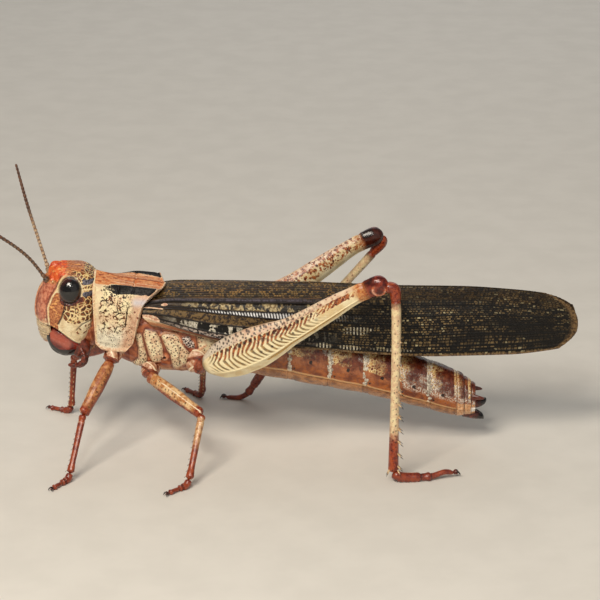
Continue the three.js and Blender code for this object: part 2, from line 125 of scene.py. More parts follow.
def from_line(places, points):
    """How far each place is, in the side view, from a line drawn through the points."""
    seen = side_view(places)
    best = np.full(seen.shape[:-1], 1e9)
    for a, b in zip(points, points[1:]):
        a, step = np.array(a, float), np.subtract(b, a).astype(float)
        t = unit(((seen - a) @ step) / (step @ step))
        best = np.minimum(best, np.linalg.norm(seen - a - t[..., None] * step, axis=-1))
    return best


def dots(places, spots):
    """1 inside round spots given as (along, up, radius) in the side view, fading over their edges."""
    seen = side_view(places)
    found = np.zeros(seen.shape[:-1])
    for along, up, radius in spots:
        away = np.hypot(seen[..., 0] - along, seen[..., 1] - up)
        found = np.maximum(found, rise(radius * 1.2, radius * 0.8, away))
    return found


def inset(places, outline):
    """How far inside a closed outline each place lies in the side view, negative outside it."""
    seen = side_view(places)
    within = np.zeros(seen.shape[:-1], bool)
    loop = [*outline, outline[0]]
    for (ax, ay), (bx, by) in zip(loop, loop[1:]):
        crossed = (ay > seen[..., 1]) != (by > seen[..., 1])
        within ^= crossed & (seen[..., 0] < ax + (seen[..., 1] - ay) * (bx - ax) / (by - ay + 1e-12))
    away = from_line(places, loop)
    return np.where(within, away, -away)


def uneven(number, spread):
    """A share from 0 to 1 that jumps about from one number to the next, the same each time."""
    return np.abs(np.sin(number) * spread) % 1


def studs(run, off, gap, radius, seed=0.0):
    """1 inside small dots set unevenly along a line, run and off giving mm along and away from it."""
    number = np.rint(run / gap)
    luck = uneven(number * 12.9898 + seed * 4.1, 43758.5453)
    other = uneven(number * 78.233 + seed * 9.7, 24634.6345)
    ahead = run - (number + 0.35 * (luck - 0.5)) * gap
    away = np.hypot(ahead, off + radius * 1.4 * (other - 0.5))
    size = radius * (0.45 + 0.8 * luck)
    return rise(1.35, 0.65, away / size)


def centre_line(points, count=260):
    """Evenly spaced places on a smooth curve through the points."""
    p = np.array(points, float)
    p = np.vstack([2 * p[0] - p[1], p, 2 * p[-1] - p[-2]])
    t = np.linspace(0, 1, 60, endpoint=False)[:, None]
    pieces = []
    for a, b, c, d in zip(p, p[1:], p[2:], p[3:]):
        first, mid, last = (np.linalg.norm(q - o) ** 0.5 + 1e-9 for o, q in ((a, b), (b, c), (c, d)))
        lead = ((b - a) / first - (c - a) / (first + mid) + (c - b) / mid) * mid
        tail = ((c - b) / mid - (d - b) / (mid + last) + (d - c) / last) * mid
        square, cube = 3 * (c - b) - 2 * lead - tail, 2 * (b - c) + lead + tail
        pieces.append(b + lead * t + square * t**2 + cube * t**3)
    dense = np.vstack([*pieces, p[-2:-1]])
    along = np.concatenate([[0], np.cumsum(np.linalg.norm(np.diff(dense, axis=0), axis=1))])
    even = np.linspace(0, along[-1], count)
    return np.stack([np.interp(even, along, dense[:, i]) for i in range(3)], 1)


class Limb:
    """A limb's centre line with its upright and sideways directions, read at u from 0 to 1."""

    def __init__(self, points, upright=(0, 0, 1)):
        self.line = centre_line(points)
        self.steps = np.linspace(0, 1, len(self.line))
        run = np.gradient(self.line, axis=0)
        self.run = run / np.linalg.norm(run, axis=1, keepdims=True)
        up = np.array(upright, float) - self.run * (self.run @ np.array(upright, float))[:, None]
        self.up = up / np.linalg.norm(up, axis=1, keepdims=True)
        self.out = np.cross(self.run, self.up)
        self.length = np.linalg.norm(np.diff(self.line, axis=0), axis=1).sum()

    def read(self, table, u):
        return np.stack([np.interp(u, self.steps, table[:, i]) for i in range(3)], -1)

    def at(self, u, up=0.0, out=0.0):
        """The place at u, moved up and out from the centre line."""
        up, out = np.asarray(up, float)[..., None], np.asarray(out, float)[..., None]
        return self.read(self.line, u) + self.read(self.up, u) * up + self.read(self.out, u) * out


# ---------- surfaces ----------
def net(along, across):
    """Shares u down a surface and v across or round it, from 0 to 1, at each crossing of its net."""
    return np.meshgrid(np.linspace(0, 1, along + 1), np.linspace(0, 1, across + 1), indexing="ij")


def lifted(places, height, ring=True):
    """A surface moved out along its own normal by height."""
    down = np.gradient(places, axis=0)
    round_it = np.gradient(places, axis=1)
    if ring:
        round_it[:, 0] = round_it[:, -1] = (places[:, 1] - places[:, -2]) / 2
    normal = np.cross(down, round_it)
    normal /= np.linalg.norm(normal, axis=-1, keepdims=True) + 1e-12
    middle = places.mean(axis=1, keepdims=True)
    if (normal * (places - middle)).sum() < 0:
        normal = -normal
    return places + normal * np.asarray(height)[..., None]


def limb_skin(limb, along, across, deep, wide, ends=(0.05, 0.05), relief=None):
    """A limb's skin with rounded ends. deep and wide give its half sizes at u."""
    u, v = net(along, across)
    u = 0.5 - 0.5 * np.cos(np.pi * u)
    angle = TAU * v
    closing = np.ones_like(u)
    if ends[0]:
        closing *= np.sqrt(unit(1 - unit(1 - u / ends[0]) ** 2))
    if ends[1]:
        closing *= np.sqrt(unit(1 - unit(1 - (1 - u) / ends[1]) ** 2))
    places = limb.at(u, deep(u) * closing * np.cos(angle), wide(u) * closing * np.sin(angle))
    if relief:
        places = lifted(places, relief(u, angle) * closing)
    return places, u, angle


def ball_skin(along, across, centre, radii, roll=0.0, tilt=0.0):
    """An egg's skin, its poles at its front and back."""
    u, v = net(along, across)
    turn, angle = np.pi * u, TAU * v
    local = stack(-np.cos(turn) * radii[0], np.sin(turn) * np.cos(angle) * radii[1],
                  np.sin(turn) * np.sin(angle) * radii[2])
    turned = np.array(Matrix.Rotation(roll, 3, "X") @ Matrix.Rotation(tilt, 3, "Y"))
    return local @ turned.T + np.array(centre), u, angle


def walled(place, along, across, wall, relief, back_rows=8):
    """A sheet with a wall: its outer face raised by relief, its inner face a wall's depth in."""
    u, v = net(along, across)
    outer = place(u, v, 0.0)
    outer = lifted(outer, relief(outer, u, v), ring=False)
    u_in, v_in = net(along, back_rows)
    inner = place(u_in, 1 - v_in, wall)
    return np.concatenate([outer, inner, outer[:, :1]], axis=1), u, v


CLOSED = (True, True)  # both ends of a net drawn together into a point
OPEN = (False, False)


def with_wall(mark, back_rows=8):
    """A mark worked out on a sheet's outer face, carried round its wall."""
    inner = np.repeat(mark[:, -1:], back_rows + 1, axis=1)
    return np.concatenate([mark, inner, mark[:, :1]], axis=1)


def piece(name, places, material, marks=None, node=None, pinch=CLOSED):
    """Makes one piece from a net of places: a grid moved onto them, its seam joined, its ends pinched."""
    places = np.array(places, float)
    if pinch[0]:
        places[0] = places[0].mean(axis=0)
    if pinch[1]:
        places[-1] = places[-1].mean(axis=0)
    rows, columns = places.shape[0] - 1, places.shape[1] - 1
    bm = bmesh.new()
    bm.loops.layers.uv.new("Skin")
    bmesh.ops.create_grid(bm, x_segments=rows, y_segments=columns, size=0.5, calc_uvs=True)
    mesh = bpy.data.meshes.new(name)
    bm.to_mesh(mesh)
    bm.free()
    flat = np.empty(len(mesh.vertices) * 3)
    mesh.vertices.foreach_get("co", flat)
    flat = flat.reshape(-1, 3)
    i = np.rint((flat[:, 0] + 0.5) * rows).astype(int)
    j = np.rint((flat[:, 1] + 0.5) * columns).astype(int)
    mesh.vertices.foreach_set("co", on_row(places[i, j]).ravel())
    for mark, values in (marks or {}).items():
        layer = mesh.attributes.new(mark, "FLOAT", "POINT")
        layer.data.foreach_set("value", np.broadcast_to(values, places.shape[:2])[i, j].astype(np.float32))
    bm = bmesh.new()
    bm.from_mesh(mesh)
    bmesh.ops.remove_doubles(bm, verts=bm.verts, dist=1e-6)
    rims = [e for e in bm.edges if e.is_boundary]
    if rims:
        bmesh.ops.holes_fill(bm, edges=rims, sides=0)
    return settle(bm, mesh, name, material, node)


def settle(bm, mesh, name, material, node=None):
    """Finishes a mesh, and puts it on the insect in the place of a node."""
    bmesh.ops.recalc_face_normals(bm, faces=bm.faces)
    for face in bm.faces:
        face.smooth = True
    bm.to_mesh(mesh)
    bm.free()
    mesh.materials.append(material)
    made = bpy.data.objects.new(name, mesh)
    bpy.context.scene.collection.objects.link(made)
    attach(made, "root")
    if node:
        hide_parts(node)
    return made


def spikes(name, thorns, material, sides=6):
    """Spines in one piece, each (root, direction, length, radius). "reach" runs from root to point."""
    bm = bmesh.new()
    reach = bm.verts.layers.float.new("reach")
    for root, direction, length, radius in thorns:
        direction = Vector(np.asarray(direction, float)).normalized()
        made = bmesh.ops.create_cone(bm, cap_ends=True, segments=sides, radius1=radius, radius2=radius * 0.12,
                                     depth=length)["verts"]
        for v in made:
            v[reach] = v.co.z / length + 0.5
            v.co.z += length / 2
        turn = Vector((0, 0, 1)).rotation_difference(direction).to_matrix().to_4x4()
        bmesh.ops.transform(bm, matrix=Matrix.Translation(Vector(root)) @ turn, verts=made)
    bmesh.ops.transform(bm, matrix=Matrix.Scale(MM, 4) @ Matrix.Translation(Vector(-ORIGIN)), verts=bm.verts)
    return settle(bm, bpy.data.meshes.new(name), name, material)


# ---------- finishes ----------
def paint(code):
    """A linear colour from its usual six-figure code."""
    parts = [int(code[i:i + 2], 16) / 255 for i in (0, 2, 4)]
    return (*[p / 12.92 if p <= 0.04045 else ((p + 0.055) / 1.055) ** 2.4 for p in parts], 1.0)


class Finish:
    """A surface's material. Each call adds a step and gives back what it makes. Sizes are in mm."""

    def __init__(self, name):
        self.material = bpy.data.materials.new(name)
        self.material.use_nodes = True
        self.tree = self.material.node_tree
        self.tree.nodes.clear()
        coordinates = self.add("ShaderNodeTexCoord")
        scale = self.add("ShaderNodeMapping")
        scale.inputs["Scale"].default_value = (1 / MM, 1 / MM, 1 / MM)
        self.tree.links.new(coordinates.outputs["Object"], scale.inputs["Vector"])
        self.place = scale.outputs["Vector"]

    def add(self, kind, **settings):
        node = self.tree.nodes.new(kind)
        for key, value in settings.items():
            setattr(node, key, value)
        return node

    def feed(self, socket, value):
        if isinstance(value, bpy.types.NodeSocket):
            self.tree.links.new(value, socket)
        elif isinstance(value, str):
            socket.default_value = paint(value)
        else:
            socket.default_value = value

    def mark(self, name):
        """A mark that its pieces carry."""
        return self.add("ShaderNodeAttribute", attribute_name=name).outputs["Fac"]

    def vector(self, x, y, z=0.0):
        node = self.add("ShaderNodeCombineXYZ")
        for socket, value in zip(node.inputs, (x, y, z)):
            self.feed(socket, value)
        return node.outputs[0]

    def math(self, kind, a, b=0.0):
        node = self.add("ShaderNodeMath", operation=kind)
        self.feed(node.inputs[0], a)
        self.feed(node.inputs[1], b)
        return node.outputs[0]

    def times(self, a, b):
        return self.math("MULTIPLY", a, b)

    def minus(self, a, b):
        return self.math("SUBTRACT", a, b)

    def plus(self, a, b):
        return self.math("ADD", a, b)

    def band(self, value, low, high, to=(0.0, 1.0)):
        """Rises evenly from to[0] where value is low to to[1] where it is high."""
        node = self.add("ShaderNodeMapRange", interpolation_type="SMOOTHSTEP")
        self.feed(node.inputs["Value"], value)
        for socket, number in zip(("From Min", "From Max", "To Min", "To Max"), (low, high, *to)):
            node.inputs[socket].default_value = number
        return node.outputs["Result"]

    def stretch(self, vector, factors, turn=(0.0, 0.0, 0.0)):
        node = self.add("ShaderNodeMapping")
        self.feed(node.inputs["Vector"], vector)
        node.inputs["Scale"].default_value = factors
        node.inputs["Rotation"].default_value = turn
        return node.outputs[0]

    def noise(self, size, detail=3.0, rough=0.55, vector=None, bend=0.0):
        """Cloudy variation whose lumps are about size across."""
        node = self.add("ShaderNodeTexNoise")
        self.feed(node.inputs["Vector"], vector or self.place)
        settings = {"Scale": 1 / size, "Detail": detail, "Roughness": rough, "Distortion": bend}
        for socket, number in settings.items():
            node.inputs[socket].default_value = number
        return node.outputs["Fac"]

    def warped(self, size, amount, vector=None):
        """The places shifted about by a soft noise, which makes straight patterns uneven."""
        node = self.add("ShaderNodeTexNoise")
        self.feed(node.inputs["Vector"], vector or self.place)
        node.inputs["Scale"].default_value = 1 / size
        node.inputs["Detail"].default_value = 2.0
        centre = self.add("ShaderNodeVectorMath", operation="SUBTRACT")
        self.feed(centre.inputs[0], node.outputs["Color"])
        centre.inputs[1].default_value = (0.5, 0.5, 0.5)
        grow = self.add("ShaderNodeVectorMath", operation="SCALE")
        self.feed(grow.inputs[0], centre.outputs[0])
        grow.inputs["Scale"].default_value = amount
        total = self.add("ShaderNodeVectorMath", operation="ADD")
        self.feed(total.inputs[0], vector or self.place)
        self.feed(total.inputs[1], grow.outputs[0])
        return total.outputs[0]

    def cells(self, size, kind="F1", vector=None, uneven=1.0, output="Distance"):
        """Cells about size across: how far a place is from a cell's middle, or from its edge."""
        node = self.add("ShaderNodeTexVoronoi", feature=kind)
        self.feed(node.inputs["Vector"], vector or self.place)
        node.inputs["Scale"].default_value = 1 / size
        node.inputs["Randomness"].default_value = uneven
        return node.outputs[output]

    def ramp(self, value, *stops):
        node = self.add("ShaderNodeValToRGB")
        self.feed(node.inputs["Fac"], value)
        steps = node.color_ramp.elements
        while len(steps) < len(stops):
            steps.new(0.5)
        for step, (at, code) in zip(steps, sorted(stops)):
            step.position = at
            step.color = paint(code)
        return node.outputs["Color"]

    def mix(self, share, a, b, kind="MIX"):
        node = self.add("ShaderNodeMix", data_type="RGBA", blend_type=kind)
        self.feed(node.inputs[0], share)
        self.feed(node.inputs[6], a)
        self.feed(node.inputs[7], b)
        return node.outputs[2]

    def tone(self, value, first, second, low=0.35, high=0.65):
        """A colour that goes from first, where value is low, to second, where it is high."""
        return self.mix(self.band(value, low, high), first, second)

    def lay(self, mark, colour, *edge, only=None, fade=None):
        """Lays a colour on the skin where a mark is: ragged with an edge, faded in by fade, within only."""
        share = self.ragged(mark, *edge) if edge else self.mark(mark)
        if fade:
            share = self.band(share, *fade)
        if only:
            share = self.times(only, share)
        self.skin = self.mix(share, self.skin, colour)

    def gloss(self, cloud, low, high):
        """A roughness that drifts from low to high with a noise."""
        return self.band(cloud, 0.3, 0.7, (low, high))

    def ragged(self, mark, size=0.3, amount=0.8, low=0.42, high=0.58):
        """A mark with its edges broken up by the grain of the shell."""
        grain = self.times(self.minus(self.noise(size, 4, 0.65), 0.5), amount)
        return self.band(self.plus(self.mark(mark), grain), low, high)

    def bump(self, height, depth, under=None):
        """Fine relief: height from 0 to 1 stands for that depth in mm."""
        node = self.add("ShaderNodeBump")
        node.inputs["Strength"].default_value = 1.0
        node.inputs["Distance"].default_value = depth * MM
        self.feed(node.inputs["Height"], height)
        if under:
            self.feed(node.inputs["Normal"], under)
        return node.outputs[0]

    def done(self, roughness, normal=None, **fixed):
        """The material, from the skin laid so far. Fixed values are set on the shader's own sockets."""
        shader = self.add("ShaderNodeBsdfPrincipled")
        self.feed(shader.inputs["Base Color"], self.skin)
        self.feed(shader.inputs["Roughness"], roughness)
        if normal:
            self.feed(shader.inputs["Normal"], normal)
        for key, value in fixed.items():
            shader.inputs[key.replace("_", " ").title().replace("Ior", "IOR")].default_value = value
        out = self.add("ShaderNodeOutputMaterial")
        self.tree.links.new(shader.outputs[0], out.inputs["Surface"])
        return self.material


def plain_finish(name, cloud, tones, layers, gloss, relief, fade=None, **coat):
    """A small part's finish: two clouded tones, a colour for each mark, and relief (its size, its depth)."""
    f = Finish(name)
    cloud = f.noise(*cloud)
    f.skin = f.tone(cloud, *tones)
    for mark, colour in layers.items():
        f.lay(mark, colour, fade=fade)
    size, depth = relief
    return f.done(f.gloss(cloud, *gloss), f.bump(f.noise(size, 3) if size else cloud, depth), **coat)


# ---------- head ----------
HEAD_TOP = 22.3
HEAD_MIDDLE = 0.42
head_front = profile((12.4, 4.9), (15.3, 4.35), (16.7, 4.2), (18.5, 4.5), (20.1, 5.45), (20.7, 5.85),
                     (21.4, 5.95), (21.9, 6.2), (22.3, 7.3))
head_back = profile((12.4, 9.6), (13.2, 9.95), (15, 10.85), (16.8, 11.35), (18.5, 11.5), (20.3, 11.4),
                    (21.3, 10.75), (22, 9.6), (22.3, 8.3))
head_half = profile((12.4, 2.3), (14, 2.85), (16.5, 3.3), (18.5, 3.2), (20, 2.85), (21, 2.35), (21.8, 1.5),
                    (22.3, 0.05))
mouth_line = profile((2, 15.35), (5.9, 15.3), (9.6, 12.9), (13, 12.5))
FLOOR_SHARE = 0.04  # the rows that close the head off underneath, behind the mouthparts


def head_ring(z, angle):
    """The head's section at a height: blunt behind and narrower in front, with its widest place between."""
    front, back = head_front(z), head_back(z)
    ahead = np.cos(angle) < 0
    reach = (back - front) * np.where(ahead, 1 - HEAD_MIDDLE, HEAD_MIDDLE)
    x = back - (back - front) * HEAD_MIDDLE + reach * pull(np.cos(angle), np.where(ahead, 1.1, 0.5))
    return x, head_half(z) * pull(np.sin(angle), 0.85)


def head_skin(along, across):
    u, v = net(along, across)
    angle = TAU * v
    rim = np.full_like(u, 14.0)
    for _ in range(4):
        rim = mouth_line(head_ring(rim, angle)[0])
    t = unit((u - FLOOR_SHARE) / (1 - FLOOR_SHARE))
    z = rim + (HEAD_TOP - rim) * np.sin(t * np.pi / 2) ** 0.95
    x, y = head_ring(z, angle)
    inward = 1 - unit(u / FLOOR_SHARE)
    return stack(x + (7.6 - x) * inward, y * (1 - inward), z + inward * 1.2)


EYE_CENTRE = (8.42, 2.75, 19.65)
EYE_RADII = (1.27, 1.02, 1.47)
EYE_ROLL = 0.12
EYE_TILT = 0.14
FACE_CARINA = [(7.5, 20.9), (7.05, 19.95), (6.3, 18.8), (5.8, 17.5), (5.82, 16.3), (5.9, 15.6)]
CHEEK_GROOVE = [(7.8, 18.3), (7.65, 17.4), (7.35, 16.5), (6.95, 15.7)]
CHEEK_FOLD = [(9.0, 14.95), (9.7, 15.7), (10.9, 16.15)]
carina_x = profile((15.6, 5.9), (16.3, 5.8), (17.5, 5.8), (18.8, 6.3), (19.95, 7.05), (20.9, 7.5))
groove_x = profile((15.7, 6.95), (16.5, 7.35), (17.4, 7.65), (18.3, 7.8))
frons_ridge = profile((15.4, 0.75), (17, 0.62), (19, 0.5), (20.5, 0.42), (21.5, 0.35))


def eye_ring(places):
    """1 on the eye's edge as seen from its own side, less inside it and more outside."""
    across = places[..., 0] - EYE_CENTRE[0]
    up = places[..., 2] - EYE_CENTRE[2]
    lean_x = across * np.cos(EYE_TILT) - up * np.sin(EYE_TILT)
    lean_z = across * np.sin(EYE_TILT) + up * np.cos(EYE_TILT)
    return np.hypot(lean_x / EYE_RADII[0], lean_z / EYE_RADII[2])


def head_relief(p):
    x, y, z = p[..., 0], np.abs(p[..., 1]), p[..., 2]
    on_face = rise(7.2, 6.2, x)
    side = rise(0.9, 1.6, y)
    ridge = 0.24 * hump(y - frons_ridge(z), 0.16) * on_face * rise(15.2, 16, z)
    channel = -0.16 * hump(y, 0.3) * on_face
    carina = 0.15 * hump(from_line(p, FACE_CARINA), 0.13) * side
    groove = -0.14 * hump(from_line(p, CHEEK_GROOVE), 0.1) * side
    fold = -0.1 * hump(from_line(p, CHEEK_FOLD), 0.09) * side
    orbit = 0.11 * hump(eye_ring(p) - 1.09, 0.05) * rise(1.4, 2.0, y)
    socket = 0.2 * hump(np.hypot(y - 1.0, z - 20.3) - 0.5, 0.13) * rise(8, 7, x)
    crown = -0.06 * hump(y - 0.75, 0.14) * rise(20.9, 21.4, z) + 0.04 * hump(y, 0.09) * rise(20.9, 21.4, z)
    rear = 0.1 * hump(x - (10.9 - 0.12 * (19 - z)), 0.12) * side * rise(19, 17, z)
    hem = 0.1 * hump(z - mouth_line(x) - 0.12, 0.12) * side
    return ridge + channel + carina + groove + fold + orbit + socket + crown + rear + hem


def head_finish():
    f = Finish("head shell")
    wobble = f.warped(0.7, 0.4)
    grain = f.noise(0.22, 4, 0.65)
    blotch = f.noise(0.9, 3)
    f.skin = f.tone(blotch, "f2e2ba", "dec499")
    face = f.tone(f.noise(0.45, 4, 0.65), "a04c34", "d68c6c", 0.36, 0.62)
    f.lay("pink", face, 0.6, 1.2, 0.35, 0.65)
    rust = f.tone(f.noise(0.2, 4, 0.7), "86401f", "c07c4c", 0.36, 0.6)
    f.lay("rust", rust, 0.3, 0.5)
    red = f.tone(f.noise(0.5, 3), "b5330f", "e0662c")
    f.lay("red", red, 0.5, 0.9, 0.35, 0.65)
    streak = f.band(f.noise(0.3, 3, 0.6, f.stretch(f.place, (0.35, 1.0, 1.0)), 0.6), 0.56, 0.62)
    f.lay("rust", "e8a862", only=streak)
    f.lay("maroon", f.tone(grain, "3a110b", "7a3222", 0.4, 0.6), 0.35, 0.7)
    f.lay("net", "e6c888", fade=(0.75, 1.0))
    edge = f.cells(0.5, "DISTANCE_TO_EDGE", f.stretch(wobble, (1.0, 1.0, 0.78)), 0.9)
    inside = f.minus(edge, f.band(f.mark("net"), 0.0, 1.0, (0.62, 0.05)))
    cell = f.tone(f.noise(0.3, 3), "2c140a", "8a4e20", 0.38, 0.6)
    f.skin = f.mix(f.band(inside, -0.02, 0.04), f.skin, cell)
    slate = f.tone(f.noise(0.25, 4, 0.6), "17151b", "6a6672", 0.38, 0.62)
    f.lay("slate", slate, 0.2, 0.7)
    f.lay("cream", f.tone(grain, "f2e2b4", "dfbf88", 0.3, 0.7))
    f.lay("dark", "260d08")
    pits = f.cells(0.16, "SMOOTH_F1")
    low = f.bump(f.band(pits, 0.1, 0.5), 0.025)
    normal = f.bump(f.band(edge, 0.0, 0.2), 0.02, low)
    rough = f.gloss(f.noise(0.4, 3), 0.3, 0.48)
    return f.done(rough, normal, coat_weight=0.1, coat_roughness=0.3)


HEAD_FINISH = head_finish()


def make_head():
    p = head_skin(250, 300)
    p = lifted(p, head_relief(p))
    x, y, z = p[..., 0], np.abs(p[..., 1]), p[..., 2]
    side = rise(1.0, 1.7, y)
    eye = eye_ring(p)
    before = rise(0.15, -0.15, x - carina_x(z))
    cheek = rise(-0.1, 0.2, x - carina_x(z)) * rise(0.1, -0.15, x - groove_x(z)) * rise(19.6, 19.1, z) * side
    top = rise(20.9, 21.6, z + 0.1 * (x - 8))
    crown = rise(20.2, 20.7, z + 0.12 * (x - 8)) * rise(7.4, 8.9, x) * rise(22.3, 21.4, z + 0.12 * (x - 9))
    behind = rise(9.5, 10.1, x) * rise(17.2, 18.2, z)
    cheek_net = rise(1.5, 1.1, from_line(p, [(8.7, 17.0), (10.4, 17.3)])) * 0.9
    dashes = rise(0.75, 0.4, from_line(p, [(9.4, 14.7), (10.5, 15.3)])) * 0.66
    lines = rise(0.13, 0.05, from_line(p, [(9.6, 19.8), (11.4, 19.72)]))
    lines = np.maximum(lines, 0.7 * rise(0.09, 0.03, from_line(p, [(9.8, 20.15), (11.4, 20.3)])))
    off_ridge = np.abs(y - frons_ridge(z))
    eye_rim = rise(0.13, 0.06, np.abs(eye - 1.13)) * rise(8.3, 7.5, x)
    face = rise(7.0, 6.2, x) * window(z, 15.3, 16, 19.8, 20.4)
    marks = {
        "cream": unit(0.9 * rise(0.13, 0.05, from_line(p, FACE_CARINA)) * side * rise(15.6, 16.2, z)
                      + 0.55 * rise(0.14, 0.05, off_ridge) * face + lines * rise(1, 1.5, y)
                      + 0.9 * eye_rim * side * rise(19.6, 20.1, z)),
        "dark": unit(0.9 * rise(0.14, 0.06, from_line(p, CHEEK_GROOVE)) * side
                     + rise(0.12, 0.05, from_line(p, CHEEK_FOLD)) * side * 0.7
                     + 0.6 * rise(0.1, 0.04, np.abs(from_line(p, FACE_CARINA) - 0.24)) * before * side
                     + rise(0.05, 0.01, eye - 1.0) * side
                     + 0.55 * rise(0.11, 0.05, np.abs(off_ridge - 0.26)) * face
                     + rise(0.2, 0.05, z - mouth_line(x)) * side * 0.8),
        "red": window(x, 5.5, 6.0, 6.9, 9.0) * rise(20.0, 21.0, z),
        "rust": unit(cheek + top * rise(6.8, 7.6, x) * 0.95 + 0.6 * before * rise(19.6, 20.4, z)),
        "pink": before * (0.4 + 0.6 * rise(15.0, 17.4, z)),
        "net": unit(np.maximum.reduce([crown, behind, cheek_net * side, dashes * side]))
        * rise(1.06, 1.14, eye),
        "slate": (rise(0.35, 0.2, from_line(p, [(10.1, 20.55), (11.3, 20.5)]))
                  + rise(0.35, 0.2, from_line(p, [(10.1, 19.25), (11.3, 19.3)]))) * side * (1 - lines),
        "maroon": rise(0.85, 0.2, from_line(p, [(7.7, 18.55), (8.7, 18.1), (9.7, 18.5)])) * side,
    }
    piece("head_shell", p, HEAD_FINISH, marks, "head")


make_head()


def eye_finish():
    f = Finish("eye")
    facets = f.cells(0.06, "DISTANCE_TO_EDGE", uneven=0.25)
    depth = f.noise(0.9, 2)
    rim = f.band(f.mark("rim"), 0.55, 1.0)
    f.skin = f.mix(f.times(rim, f.band(depth, 0.4, 0.6)), "080504", "3a0f0a")
    return f.done(f.gloss(depth, 0.1, 0.16), f.bump(f.band(facets, 0, 0.2), 0.002),
                  specular_ior_level=0.3, coat_weight=1.0, coat_roughness=0.03)


EYE_FINISH = eye_finish()


def make_eye(side):
    bm = bmesh.new()
    rim = bm.verts.layers.float.new("rim")
    bmesh.ops.create_uvsphere(bm, u_segments=72, v_segments=48, radius=1.0)
    for v in bm.verts:
        v[rim] = np.hypot(v.co.x, v.co.z)
        v.co.y = (abs(v.co.y) ** 0.9) * (1 if v.co.y > 0 else -1)
    turn = Matrix.Rotation(EYE_ROLL * side, 4, "X") @ Matrix.Rotation(EYE_TILT, 4, "Y")
    centre = Vector((EYE_CENTRE[0], EYE_CENTRE[1] * side, EYE_CENTRE[2])) - Vector(ORIGIN)
    grow = Matrix.Diagonal((*EYE_RADII, 1.0))
    seat = Matrix.Scale(MM, 4) @ Matrix.Translation(centre)
    bmesh.ops.transform(bm, verts=bm.verts, matrix=seat @ turn @ grow)
    name = f"eye_{SIDE_NAMES[side]}"
    settle(bm, bpy.data.meshes.new(name), f"{name}_dome", EYE_FINISH, name)


for side in SIDES:
    make_eye(side)


# The three simple eyes: one before each large eye and one on the ridge of the face.
OCELLUS_FINISH = plain_finish("simple eye", (0.15, 3), ("e0b070", "8a4a20"), {}, (0.08, 0.16), (None, 0.004),
                              coat_weight=0.8, coat_roughness=0.05)
OCELLUS_RADII = (0.2, 0.2, 0.2)
OCELLI = {"left": (6.6, -1.6, 20.2), "right": (6.6, 1.6, 20.2), "middle": (4.6, 0.0, 19.0)}
skull = head_skin(120, 160)
for place, near in OCELLI.items():
    away = np.linalg.norm(skull - near, axis=-1)
    seat = skull[np.unravel_index(np.argmin(away), away.shape)]
    piece(f"ocellus_{place}", ball_skin(24, 32, seat, OCELLUS_RADII)[0], OCELLUS_FINISH)


# ---------- mouthparts ----------
def jaw_finish():
    f = Finish("jaw")
    cloud = f.noise(0.8, 3)
    f.skin = f.tone(cloud, "560f0a", "8a2a1c")
    # Painted highlight: a paler red patch on the jaw's upper outer face, where light catches it.
    f.lay("painted_highlight", "b4604c")
    f.lay("edge", "070303", 0.5, 0.3, 0.35, 0.6)
    return f.done(f.gloss(f.noise(0.3, 3), 0.16, 0.3), f.bump(f.noise(0.15, 3), 0.008),
                  coat_weight=0.5, coat_roughness=0.12)


LIP_FINISH = plain_finish("lip plate", (0.25, 4, 0.6), ("dec9a0", "b89a7a"),
                          {"low": "b0632e", "joint": "23120c"}, (0.3, 0.42), (None, 0.02), coat_weight=0.15)
JAW_FINISH = jaw_finish()
PALP_FINISH = plain_finish("palps", (0.35, 3), ("481810", "7a3520"), {"joint": "2a0e0a"}, (0.28, 0.42),
                           (0.1, 0.01), coat_weight=0.2)


def lip_plate(name, low, z_range, x_range, half, curl, rounding):
    """A plate across the front of the mouth, bowed round it. u runs down the plate and v across it."""
    def place(u, v, inward):
        s = 2 * v - 1
        drop = z_range[0] + (z_range[1] - z_range[0]) * u * (1 - rounding * s**4)
        x = x_range[0] + (x_range[1] - x_range[0]) * u + 1.25 * s * s + inward + curl * np.sin(np.pi * u)
        return stack(x, half(u) * s, drop)

    def relief(p, u, v):
        s = 2 * v - 1
        rim = 0.08 * hump(u - 0.12, 0.1) - 0.1 * hump(u - 0.3, 0.06)
        return rim + 0.05 * hump(s, 0.5) * np.sin(np.pi * u)

    p, u, v = walled(place, 40, 60, 0.55, relief)
    marks = {"low": with_wall(low * rise(0.7, 0.95, u)), "joint": with_wall(rise(0.05, 0.0, u))}
    piece(f"{name}_plate", p, LIP_FINISH, marks, name, OPEN)


lip_plate("clypeus", 0.0, (15.45, 14.25), (4.22, 4.3), lambda u: 2.35 - 0.2 * u, -0.1, 0.0)
lip_plate("labrum", 0.8, (14.24, 12.7), (4.34, 4.85), lambda u: 2.15 - 0.6 * u * u, -0.14, 0.3)


